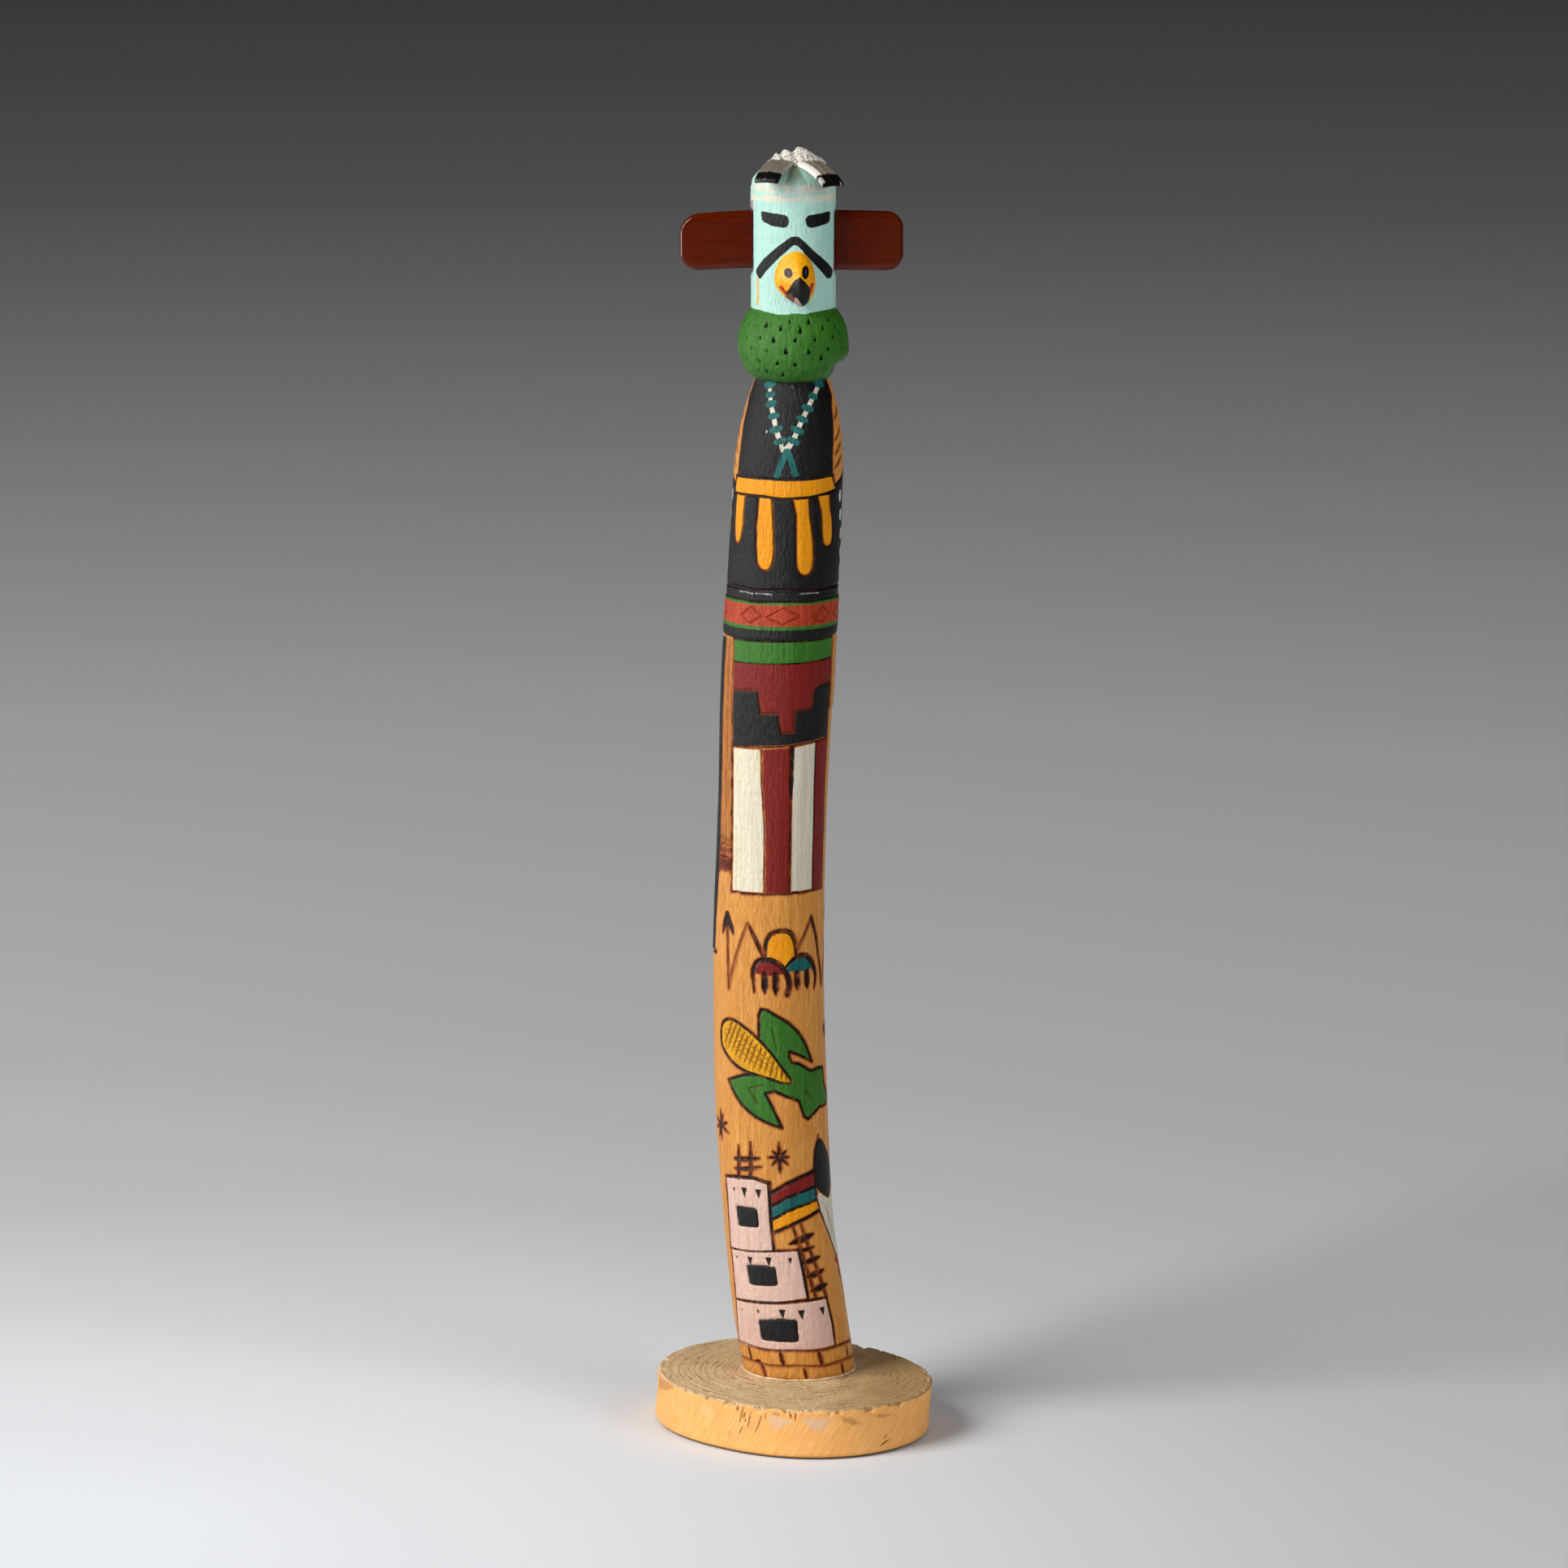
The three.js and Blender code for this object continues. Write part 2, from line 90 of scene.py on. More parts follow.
CAMERA_PLACE = (-0.0037, -2.3134, 0.680)
CAMERA_DOWN = 11.65
CAMERA_LENS = 177.0
LIGHTS = [  # name, place, target, size, power in watts, colour
    ("key", (-1.7, -1.0, 1.45), (0, 0, 0.2), (1.3, 1.5), 72, (1, 0.985, 0.96)),
    ("fill", (1.5, -1.2, 1.0), (0, 0, 0.2), (1.0, 1.0), 15, (0.97, 0.985, 1)),
    ("sheen", (-1.35, -0.2, 0.45), (0, 0, 0.3), (0.5, 0.8), 21, (0.97, 0.985, 1)),
]
ROOM_COLOUR, ROOM_STRENGTH = (0.5, 0.5, 0.52, 1), 0.3
FLOOR_SIZE = 40
# The floor's light and shade are painted: a pool of light brightest here, beside the doll on the lamps'
# side.
FLOOR_LIGHT_POOL = (-0.2, -0.1, 0)
FLOOR_FADE = 5.0  # metres over which the painted pool of light fades from the brightest place to the darkest
FLOOR_TONES = [  # share of the fade, grey painted for the light there
    (0.0, 0.80), (0.03, 0.74), (0.075, 0.56), (0.12, 0.52), (0.16, 0.53), (0.25, 0.55), (0.40, 0.46),
    (0.62, 0.29), (0.80, 0.235), (1.0, 0.185),
]


def make_camera():
    data = bpy.data.cameras.new("camera")
    data.sensor_width = 36
    data.lens = CAMERA_LENS
    data.clip_end = 60
    camera = bpy.data.objects.new("camera", data)
    camera.location = CAMERA_PLACE
    camera.rotation_euler = (math.radians(90 - CAMERA_DOWN), 0, 0)
    bpy.context.scene.collection.objects.link(camera)
    bpy.context.scene.camera = camera


def make_light(name, place, target, size, power, colour):
    data = bpy.data.lights.new(name, "AREA")
    data.shape = "RECTANGLE"
    data.size, data.size_y = size
    data.energy = power
    data.color = colour
    light = bpy.data.objects.new(name, data)
    light.location = place
    aim = Vector(target) - Vector(place)
    light.rotation_euler = aim.to_track_quat("-Z", "Y").to_euler()
    bpy.context.scene.collection.objects.link(light)
    return light


# ---------------------------------------------------------------- node helpers


class Shader:
    """Builds one node material, with a Principled shader that reads what is linked to it."""

    def __init__(self, name):
        self.material = bpy.data.materials.new(name)
        self.material.use_nodes = True
        self.tree = self.material.node_tree
        self.skin = self.tree.nodes["Principled BSDF"]

    def node(self, kind, inputs=(), **settings):
        made = self.tree.nodes.new(kind)
        for key, value in settings.items():
            setattr(made, key, value)
        for socket, value in dict(inputs).items():
            self.feed(made.inputs[socket], value)
        return made

    def feed(self, socket, value):
        if isinstance(value, bpy.types.NodeSocket):
            self.tree.links.new(value, socket)
        elif socket.type == "RGBA" and len(value) == 3:
            socket.default_value = (*value, 1)
        else:
            socket.default_value = value

    def set(self, **inputs):
        for name, value in inputs.items():
            self.feed(self.skin.inputs[name.replace("_", " ")], value)

    def read(self, name, output="Fac"):
        return self.node("ShaderNodeAttribute", attribute_name=name).outputs[output]

    def place(self, scale=(1, 1, 1)):
        """The piece's own coordinates in millimetres, scaled per axis."""
        mapped = self.node("ShaderNodeMapping", {"Vector": self.read("place", "Vector"), "Scale": scale})
        return mapped.outputs["Vector"]

    def noise(self, scale, detail=3.0, rough=0.55, distortion=0.0):
        made = self.node("ShaderNodeTexNoise", {
            "Vector": self.place(scale), "Scale": 1.0, "Detail": detail,
            "Roughness": rough, "Distortion": distortion,
        })
        return made.outputs["Fac"]

    def math(self, operation, a, b=0.0, c=0.0):
        return self.node("ShaderNodeMath", {0: a, 1: b, 2: c}, operation=operation).outputs[0]

    def times(self, a, b):
        return self.math("MULTIPLY", a, b)

    def distance(self, spot, centre):
        away = self.node("ShaderNodeVectorMath", {0: spot, 1: centre}, operation="SUBTRACT").outputs[0]
        return self.node("ShaderNodeVectorMath", {0: away}, operation="LENGTH").outputs["Value"]

    def step(self, value, low, high, to_low=0.0, to_high=1.0):
        """A smooth rise from to_low to to_high as value goes from low to high."""
        made = self.node("ShaderNodeMapRange", {
            "Value": value, "From Min": low, "From Max": high, "To Min": to_low, "To Max": to_high,
        }, interpolation_type="SMOOTHSTEP")
        return made.outputs[0]

    def mix(self, share, a, b):
        """Colour a with a share of colour b over it."""
        made = self.node("ShaderNodeMix", data_type="RGBA")
        self.feed(made.inputs[0], share)
        self.feed(made.inputs[6], a)
        self.feed(made.inputs[7], b)
        return made.outputs[2]

    def lay(self, under, share, tone):
        """A share of a display tone (0-255) over the colour under it."""
        return self.mix(share, under, linear(*tone))

    def tones(self, value, low, high, dark, light):
        """A display tone that goes from dark to light as value goes from low to high."""
        return self.mix(self.step(value, low, high), linear(*dark), linear(*light))

    def bump(self, height, depth, normal=None):
        inputs = {"Height": height, "Distance": depth * MM, "Strength": 1.0}
        if normal is not None:
            inputs["Normal"] = normal
        return self.node("ShaderNodeBump", inputs).outputs["Normal"]


def make_stage():
    """A pale floor with a painted pool of light: cooler where it is bright, and painted darker away from
    the doll as light falls off over a studio sweep.
    """
    bpy.ops.mesh.primitive_plane_add(size=FLOOR_SIZE)
    floor = bpy.context.object
    floor.name = "floor"
    shader = Shader("studio floor")
    away = shader.distance(shader.node("ShaderNodeTexCoord").outputs["Object"], FLOOR_LIGHT_POOL)
    # painted pool of light: the floor's grey by distance from its brightest place
    ramp = shader.node("ShaderNodeValToRGB", {"Fac": shader.math("DIVIDE", away, FLOOR_FADE)})
    elements = ramp.color_ramp.elements
    while len(elements) < len(FLOOR_TONES):
        elements.new(0.5)
    for element, (at, grey) in zip(elements, FLOOR_TONES):
        cool = 0.2 * max(0.0, grey - 0.45)
        element.position = at
        element.color = (grey, grey * (1 + 0.5 * cool), grey * (1.01 + cool), 1)
    shader.set(Base_Color=ramp.outputs["Color"], Roughness=0.95, Specular_IOR_Level=0.1)
    floor.data.materials.append(shader.material)


def make_studio():
    """Two soft lights, one more that only shines off the paint, and a dim even room."""
    scene = bpy.context.scene
    scene.view_settings.view_transform = "Standard"
    world = bpy.data.worlds.new("studio")
    scene.world = world
    world.use_nodes = True
    world.node_tree.nodes["Background"].inputs["Color"].default_value = ROOM_COLOUR
    world.node_tree.nodes["Background"].inputs["Strength"].default_value = ROOM_STRENGTH
    world.cycles_visibility.glossy = False
    lights = {light[0]: make_light(*light) for light in LIGHTS}
    lights["fill"].visible_glossy = False
    lights["sheen"].visible_diffuse = False
    make_stage()


# ---------------------------------------------------------------- the root's surface


def curve_through(stations):
    """A smooth curve through stations ((at, value), ...), flat beyond both ends."""
    at = np.array([station[0] for station in stations], float)
    value = np.array([station[1] for station in stations], float)
    slope = np.gradient(value, at)

    def read(where):
        where = np.clip(where, at[0], at[-1])
        i = np.clip(np.searchsorted(at, where, side="right") - 1, 0, len(at) - 2)
        span = at[i + 1] - at[i]
        u = (where - at[i]) / span
        near = (1 + 2 * u) * (1 - u) ** 2 * value[i] + u * (1 - u) ** 2 * span * slope[i]
        far = u * u * (3 - 2 * u) * value[i + 1] + u * u * (u - 1) * span * slope[i + 1]
        return near + far

    return read


bow = curve_through([
    (16, 1.0), (34, -1.8), (54, -4.4), (76, -6.3), (100, -7.6), (148, -8.4),
    (194, -7.2), (240, -5.4), (285, -3.0), (328, -1.2), (393, -0.9),
])
setback = curve_through([(16, 7.2), (100, 6.6), (250, 5.6), (393, 5.6)])
trunk_width = curve_through([
    (16, 17.3), (28, 17.6), (64, 17.0), (95, 17.35), (150, 17.0), (200, 16.65),
    (238, 17.2), (262, 17.05), (290, 16.8), (305, 16.3), (318, 14.3), (327.9, 11.3),
])


def half_width(z):
    """Half the figure's width at a height, before any relief."""
    rise = np.where(z < RUFF_MIDDLE, (RUFF_MIDDLE - z) / RUFF_DROP, (z - RUFF_MIDDLE) / RUFF_RISE)
    ruff = RUFF_CORE + (RUFF_RADIUS - RUFF_CORE) * np.sqrt(np.clip(1 - rise * rise, 0, 1))
    crown = np.clip((z - (FIGURE_TOP - DOME_HEIGHT)) / DOME_HEIGHT, 0, 1)
    head = HEAD_RADIUS * (1 - crown ** DOME_POWER) ** (1 / DOME_POWER)
    neck = trunk_width(RUFF_BOTTOM)
    return np.where(z <= RUFF_BOTTOM, trunk_width(z), np.where(z < RUFF_TOP, np.maximum(ruff, neck), head))


def scatter(a, b):
    """A repeatable number from 0 to 1."""
    value = math.sin(a * 127.1 + b * 311.7) * 43758.5453
    return value - math.floor(value)


def smooth_step(value, low, high):
    u = np.clip((value - low) / (high - low), 0, 1)
    return u * u * (3 - 2 * u)


def within(value, low, high, edge):
    return smooth_step(value, low, low + edge) * (1 - smooth_step(value, high - edge, high))


def waves(x, y, seed, octaves=3):
    """Smooth repeatable unevenness from about -1 to 1, for arrays x and y."""
    total, size = 0.0, 1.0
    for octave in range(octaves):
        a, b, c = 1.7 * seed + 2.3 * octave, 0.9 * seed + 4.1 * octave, 3.1 * seed + octave
        turn = 0.8 * octave + seed
        u = x * math.cos(turn) - y * math.sin(turn)
        v = x * math.sin(turn) + y * math.cos(turn)
        total = total + size * np.sin(u + a + 1.3 * np.sin(v * 0.7 + b)) * np.cos(v * 0.9 + c)
        x, y, size = x * 1.93, y * 1.93, size * 0.55
    return total / 1.6


class Profile:
    """The figure's side outline by the length walked along it, from the foot to the crown."""

    dense = np.concatenate([
        np.linspace(DISK_HEIGHT, FIGURE_TOP - DOME_HEIGHT, 8000),
        FIGURE_TOP - DOME_HEIGHT * (1 - np.sin(np.linspace(0, 0.999, 900) * math.pi / 2)),
    ])
    width = half_width(dense)
    walked = np.concatenate([[0], np.cumsum(np.hypot(np.diff(dense), np.diff(width)))])
    length = walked[-1]

    @classmethod
    def height(cls, walk):
        return np.interp(walk, cls.walked, cls.dense)

    @classmethod
    def radius(cls, walk):
        return np.interp(walk, cls.walked, cls.width)


def root_point(angle, walk, lift=0.0):
    """Points on the root, in millimetres, pushed out along its outline's own slope by lift."""
    z = Profile.height(walk)
    radius = Profile.radius(walk)
    step = 0.4
    dz = Profile.height(walk + step) - Profile.height(walk - step)
    dr = Profile.radius(walk + step) - Profile.radius(walk - step)
    size = np.hypot(dz, dr) + 1e-9
    out, up = dz / size, -dr / size
    reach = radius + lift * out
    depth = np.where(z < RUFF_BOTTOM, TRUNK_DEPTH, HEAD_DEPTH)
    x = bow(z) + reach * np.sin(angle)
    y = setback(z) - depth * reach * np.cos(angle)
    x = np.where(within(z, EAR_BOTTOM - 1, EAR_TOP + 1, 0.3) > 0.5, np.clip(x, *EAR_FLATS), x)
    return np.stack([x, y, z + lift * up], axis=-1)


# ---------------------------------------------------------------- painted areas and cut lines

COATS = {  # paint in the order it was laid on: (thin over grain, full)
    "mint": ((168, 216, 202), (188, 231, 220)),
    "rose": ((170, 60, 110), (222, 150, 186)),
    "amber": ((206, 150, 60), (240, 196, 110)),
    "pink": ((214, 172, 154), (233, 197, 182)),
    "cream": ((216, 204, 176), (238, 230, 206)),
    "beige": ((204, 194, 172), (232, 222, 202)),
    "green": ((38, 92, 20), (62, 124, 36)),
    "maroon": ((106, 13, 8), (134, 28, 21)),
    "red": ((142, 36, 10), (190, 72, 38)),
    "black": ((9, 9, 9), (25, 24, 24)),
    "yellow": ((227, 136, 0), (246, 163, 2)),
    "corn": ((178, 108, 2), (240, 180, 16)),
    "white": ((190, 182, 160), (232, 226, 208)),
    # grey paints the highlights glinting in the belt's groove
    "grey": ((112, 112, 114), (184, 184, 186)),
    "teal": ((5, 62, 62), (28, 112, 108)),
}
# each coat's areas, and the area of painted shade and dirt under the crest
areas = {colour: [] for colour in (*COATS, "crest_shade_and_dirt")}
cuts = []
wings = [[(-0.5, 327.2), (0.1, 327.2), (-0.1, 326.3), (-0.5, 326.5)]]  # bare in the black; this is a chip
beam_ends = []
FAR = 2.5  # signed distances stop mattering beyond this


def rounded(points, turns=2, closed=True, share=0.25):
    """The outline with its corners cut off turns times, as a knife rounds them."""
    for _ in range(turns):
        new = [] if closed else [points[0]]
        pairs = zip(points, points[1:] + points[:1]) if closed else list(zip(points, points[1:]))
        for (ax, az), (bx, bz) in pairs:
            new.append((ax + share * (bx - ax), az + share * (bz - az)))
            new.append((bx + share * (ax - bx), bz + share * (az - bz)))
        points = new if closed else new + [points[-1]]
    return points


def oval(around, height, half_across, half_tall, lean=0.0, sides=14):
    turn = math.radians(lean)
    points = []
    for k in range(sides):
        u = half_across * math.cos(TAU * k / sides)
        v = half_tall * math.sin(TAU * k / sides)
        points.append((around + u * math.cos(turn) - v * math.sin(turn),
                       height + u * math.sin(turn) + v * math.cos(turn)))
    return points


def paint(colour, points):
    areas[colour].append(points)


def cut(points, width=0.8, burn=1.0, start=0.6, end=0.6, depth=0.32, closed=False):
    """A knife-cut and burned line. start and end are the width's share at its two ends."""
    cuts.append((points + points[:1] if closed else points, width, depth, burn, start, end))


def cut_rows(rows):
    """Cut each row of (points, width, burn, start, end, depth), of which the last ones may be left out."""
    for points, *line in rows:
        cut(points, *line)


def band(colour, low, high):
    """Paint right round the figure."""
    half = math.pi * UNROLL
    paint(colour, [(-half - 2, low), (half + 2, low), (half + 2, high), (-half - 2, high)])


def ring(height, **line):
    """A slightly uneven cut right round the figure."""
    half = math.pi * UNROLL
    steps = 24
    points = [(-half + 2 * half * k / steps, height + 0.25 * math.sin(1.7 * k)) for k in range(steps)]
    cut(points + [(half, height)], start=1, end=1, **line)


def stroke_area(points, width):
    """The outline of a brush stroke along points."""
    left, right = [], []
    for i, (x, z) in enumerate(points):
        ax, az = points[max(i - 1, 0)]
        bx, bz = points[min(i + 1, len(points) - 1)]
        size = math.hypot(bx - ax, bz - az)
        nx, nz = (az - bz) / size, (bx - ax) / size
        left.append((x + nx * width / 2, z + nz * width / 2))
        right.append((x - nx * width / 2, z - nz * width / 2))
    return left + right[::-1]


def mask_pictures():
    """Mint face with its brows and chevron over a green ruff, and a few stray marks."""
    chin = [
        (-53.5, 349.5), (-22, 349.7), (-16, 349.8), (-10.5, 349.4), (-5.8, 348.9), (-3.4, 349), (1, 349.4),
        (5, 349.1), (7.2, 349.5), (14, 349.8), (20, 349.9), (34, 349.4), (53.5, 349.5),
    ]
    band("mint", RUFF_TOP - 1.5, FIGURE_TOP + 3)
    paint("green", chin + [(55.5, 349.5), (55.5, RUFF_BOTTOM), (-55.5, RUFF_BOTTOM), (-55.5, 349.5)])
    paint("black", rounded([
        (-14.6, 380), (-3.2, 379.3), (-1.6, 378.1), (-1.9, 376.1), (-3.3, 375.3), (-8.6, 375.6),
        (-14.1, 377),
    ], 1, share=0.12))
    paint("black", rounded([
        (17.9, 379.8), (11.3, 379.4), (6.2, 379.1), (4.8, 377.9), (5.4, 375.8), (7.2, 375.1), (12, 375.6),
        (17.4, 376.3),
    ], 1, share=0.14))
    paint("black", rounded([
        (-18.9, 361.3), (-15.4, 358.9), (-11, 362.3), (-6, 366), (0.8, 370.6), (7.3, 365.2), (15.4, 359.3),
        (18.8, 359.2), (21, 361.3), (8.9, 367.9), (2.2, 372.8), (-0.9, 372.7), (-7.4, 369), (-13.2, 365.4),
    ], 1, share=0.12))
    # painted shade, with some dirt, on the mint under and between the crest feathers
    paint("crest_shade_and_dirt", [(-2.4, 394.5), (3.4, 394.5), (4.8, 391), (7, 387.2), (-4.6, 387.2), (-3, 391)])
    for side, low, high in ((-1, 362.5, 382.5), (1, 360.5, 370.5)):
        paint("rose", [
            (side * 20.6, low), (side * 21.6, low + 6), (side * 20.9, high), (side * 24.6, high),
            (side * 24.2, low),
        ])
    paint("amber", [(-18, 351), (-17.3, 355), (-17.8, 360), (-16.3, 359.2), (-15.8, 354), (-16.4, 350.8)])


def torso_pictures():
    """Black paint that leaves the two wings bare, with their strokes, and the white dots."""
    band("black", BELT_TOP, RUFF_BOTTOM + 0.4)
    wing = [
        (20.4, 329), (20.9, 323.5), (18.1, 320.2), (16.7, 312), (15.6, 305), (15.4, 299.6), (17.4, 296.2),
        (21.5, 297.6), (26.5, 300.4), (31, 303.6), (35, 308.5), (36.5, 316), (34, 329),
    ]
    slashes = [(317.4, 18.2), (311.4, 17.6), (307, 17), (302.8, 16.6)]
    for side, spread, shift, gap in ((1, 1, 0, 0.4), (-1, 0.9, 4.2, 5.612)):
        shape = [(side * (15.6 + (around - 15.6) * spread + shift), height) for around, height in wing]
        wings.append(shape)
        cut(shape, closed=True, width=0.7, depth=0.3)
        for height, start in slashes:
            from_edge = side * (start + gap)
            cut_rows([
                ([(from_edge, height - 1.4), (from_edge + side * 4.6, height + 1.6)], 1, 0.62, 0.35, 0.8),
                ([(from_edge + side * 8, height - 0.4), (from_edge + side * 13, height + 2.6)], 0.9, 0.7,
                 0.3, 0.8),
            ])
    for side, start, drift in ((-1, 24.9, 1.6), (1, 21.7, 1)):
        for k in range(5):
            paint("white", oval(side * (start + drift * k), 292.4 - 5.9 * k, 1.3, 1.9))
            paint("white", oval(side * 37, 290.6 - 5.9 * k, 1, 1.7))
            paint("white", oval(side * 48, 314.6 - 8.6 * k, 1.1, 1.9))
    paint("white", oval(-8.5, 313.3, 0.28, 0.5, -15))
    paint("white", oval(0.9, 301.4, 0.22, 0.42))


def sash_pictures():
    """The yellow collar with its four pendants."""
    paint("yellow", [
        (-20.5, 298.4), (-8.3, 298.8), (0, 298.6), (8, 298.7), (16.3, 299.2), (17.4, 295.2), (7.6, 293.9),
        (-1.4, 293.5), (-8, 294.1), (-21.2, 293.7),
    ])
    cut_rows([
        ([(-20.8, 298.9), (-8.3, 299.2), (8, 299.1), (16.3, 299.6), (17.7, 295.1)], 0.6, 1, 0.6, 0.6, 0.3),
        ([(-20.8, 298.9), (-21.6, 293.5), (-8, 293.7), (-1.4, 293.1), (7.6, 293.5), (17.7, 294.9)], 0.95,
         1, 0.6, 0.6, 0.45),
    ])
    strips = [
        [(-19.9, 293.4), (-14.9, 293.4), (-15, 284.5), (-15.5, 280.4), (-16.7, 278.4), (-18.4, 278.3),
         (-19.6, 280.6), (-20.1, 285)],
        [(-9.4, 293.4), (-4.9, 293.4), (-4, 286), (-3.3, 277.5), (-3.5, 273.2), (-4.6, 271.1),
         (-6.9, 270.9), (-8.6, 272.9), (-9.2, 277), (-9.7, 284)],
        [(1.6, 293.2), (6.9, 293.2), (7.4, 288), (8.4, 283), (9.5, 276), (9.3, 271.6), (8, 269.4),
         (5.6, 269.4), (4.1, 271.6), (3.5, 276), (2.9, 288)],
        [(10, 293.6), (14.8, 293.6), (15.5, 289), (16.6, 286), (17.2, 281), (16.6, 278.4), (14.8, 277.4),
         (13, 278.6), (12.1, 282), (11.6, 288)],
    ]
    for strip in strips:
        shape = strip[:2] + rounded(strip[2:], 1, closed=False)
        cut(shape[1:] + shape[:1], width=0.9, depth=0.34, burn=0.8, start=1, end=1)
        paint("yellow", shape)


def necklace():
    strings = [
        ([(-10.8, 327.4), (-9.4, 324.3), (-8.3, 321.6), (-6.5, 318.1), (-5.1, 314.2), (-3.4, 310.7)], 14),
        ([(13.4, 327.4), (9.2, 323.8), (6.2, 320.4), (4, 317.2), (2.3, 314), (1, 310.8)], -20),
    ]
    for teal_places, lean in strings:
        for (ax, az), (bx, bz) in zip(teal_places, teal_places[1:]):
            paint("white", stroke_area([(ax, az), (bx, bz)], 1.7))
        for k, place in enumerate(teal_places):
            big = 1.3 if k == 0 else 1 - 0.08 * (k % 2)
            paint("teal", oval(*place, 2.5 * big, 1.15 * big, lean * (0.4 + 0.15 * k)))
    paint("white", stroke_area([(-3.1, 310.2), (-2.2, 307.4)], 1.3))
    paint("white", stroke_area([(0.4, 310.4), (-0.9, 308.2)], 1.9))
    paint("teal", stroke_area([(-0.9, 308.4), (-2.4, 304.4), (-4, 299.4)], 1.95))
    paint("teal", stroke_area([(-1.1, 308.4), (0.7, 304.6), (2.3, 300)], 1.95))


def belt_pictures():
    """Bands of paint, the groove above them with painted glints of light along its lip, and a row of cut
    diamonds.
    """
    band("green", 260.4, BELT_TOP + 0.2)
    band("red", 253.9, 260.5)
    band("green", 252.2, 254.4)
    band("black", BELT_BOTTOM, 252.8)
    ring(264.9, width=1.3, depth=0.5, burn=1.4)
    # pale grey strokes along the groove's lower lip: painted highlights
    for start, end in ((-15.4, -9.4), (-8.8, -3), (5, 12.2), (24, 29), (-41, -34)):
        paint("grey", stroke_area([(start, 263.9), ((start + end) / 2, 264), (end, 263.7)], 0.5))
    ring(BELT_TOP + 0.2, width=0.5, depth=0.2)
    diamonds = [
        (-9.6, 3.7), (0.7, 5.2), (13.5, 3.4), (23.5, 4.6), (35, 4.8), (46.5, 4.6), (-25.5, 4.6),
        (-36, 4.8), (-46.5, 4.6),
    ]
    for middle, half in diamonds:
        corners = [(middle - half, 256.6), (middle, 259.6), (middle + half, 257), (middle, 254.5)]
        for start, end in zip(corners, corners[1:] + corners[:1]):
            cut([start, end], width=0.75, depth=0.36, burn=0.16, start=0.5, end=0.5)
    cut([(10.6, 254.2), (13.4, 258.8)], width=0.8, depth=0.4, burn=0.1, start=0.5, end=0.6)
    # pale pink strokes along this scratch: painted highlights on its walls
    paint("pink", stroke_area([(11.2, 254.9), (13.3, 258.2)], 0.3))
    paint("pink", stroke_area([(12.9, 256.8), (14.2, 258.9)], 0.25))


def kilt_pictures():
    """The green hem, the stepped pattern and the stripes; left and right are the kilt's sloping edges."""
    top, bottom = BELT_BOTTOM, 170.4

    def left(z):
        return -13.0 - (z - 170) * 0.036

    def right(z):
        return 21.2 - (z - 170) * 0.014

    paint("green", [(left(top), top), (right(top), top), (right(242.4), 242.8), (left(242.4), 242.1)])
    steps = [
        (left(233.5), 233.5), (-6, 233.9), (-4.9, 226.9), (0.6, 226.8), (1.8, 221), (5.6, 220.9),
        (5.8, 227.8), (11.6, 228.1), (12, 233.4), (14.2, 234.9), (right(235.4), 235.4),
    ]
    paint("maroon", [(left(242), 242.1), (right(242), 242.8)] + steps[::-1])
    paint("black", steps + [(right(218), 218.2), (13.8, 218), (5, 217.3), (-3.8, 216.9), (left(216), 216)])
    paint("cream", [
        (left(215.3) + 0.3, 215.4), (-4.8, 215.5), (-4.3, 206), (-2.6, 190), (-2.3, 171.2),
        (left(171) + 0.4, 170.9),
    ])
    paint("maroon", [
        (-3.7, 215.7), (5, 216.2), (5.4, 200), (5.7, 170.9), (-1.4, 170.9), (-1.9, 190), (-3.4, 205),
    ])
    paint("beige", [(6, 216.1), (14, 217), (14.4, 195), (14.9, 171.1), (6.8, 171.2), (6.3, 195)])
    paint("maroon", [
        (14.3, 217.5), (right(217) + 0.2, 217.9), (right(171) + 0.2, 170.8), (15.3, 170.9), (14.8, 195),
    ])
    cut_rows([
        ([(left(top) - 0.6, top), (left(210) - 0.5, 210), (left(170.4) - 0.4, 170.4)], 0.7, 0.85),
        ([(right(top) + 0.3, top), (right(210) + 0.3, 210), (right(170.6) + 0.3, 170.6)], 0.6, 0.75),
        ([(left(bottom) - 0.2, bottom - 0.1), (-10.6, 170.9), (-9.4, 170.4), (-4, 170.5), (-1.6, 170.3)],
         0.6, 0.9, 0.8, 0.7, 0.36),
        ([(-1.6, 170.4), (3, 170.6), (6.4, 170.4), (8, 170.8), (10, 170.4), (13, 170.7), (right(bottom),
         170.5)], 0.62, 0.9, 0.6, 0.7, 0.36),
        ([(left(top), top - 0.4), (0, top - 0.2), (right(top), top - 0.2)], 0.6, 1, 1, 1),
        ([(left(242), 242.1), (2, 242.3), (right(242), 242.8)], 0.5, 1, 1, 1),
        (steps, 0.75, 0.6, 1, 1, 0.4),
        ([(left(216), 215.8), (-3.8, 216.4), (5, 216.8), (13.8, 217.5), (right(218), 217.8)], 0.6, 0.8, 1,
         1),
        ([(-4.1, 215.6), (-3.7, 205), (-2.4, 190), (-1.8, 171)], 0.5, 0.75, 0.9, 0.7),
        ([(5.4, 215.8), (5.6, 206), (5.7, 200)], 1.5, 1, 1.1, 0.4, 0.45),
        ([(5.6, 203), (5.8, 190), (6.1, 171)], 0.65, 0.9, 0.6, 1),
        ([(14.2, 217), (14.7, 195), (15.1, 171)], 0.7, 1, 1, 1),
    ])


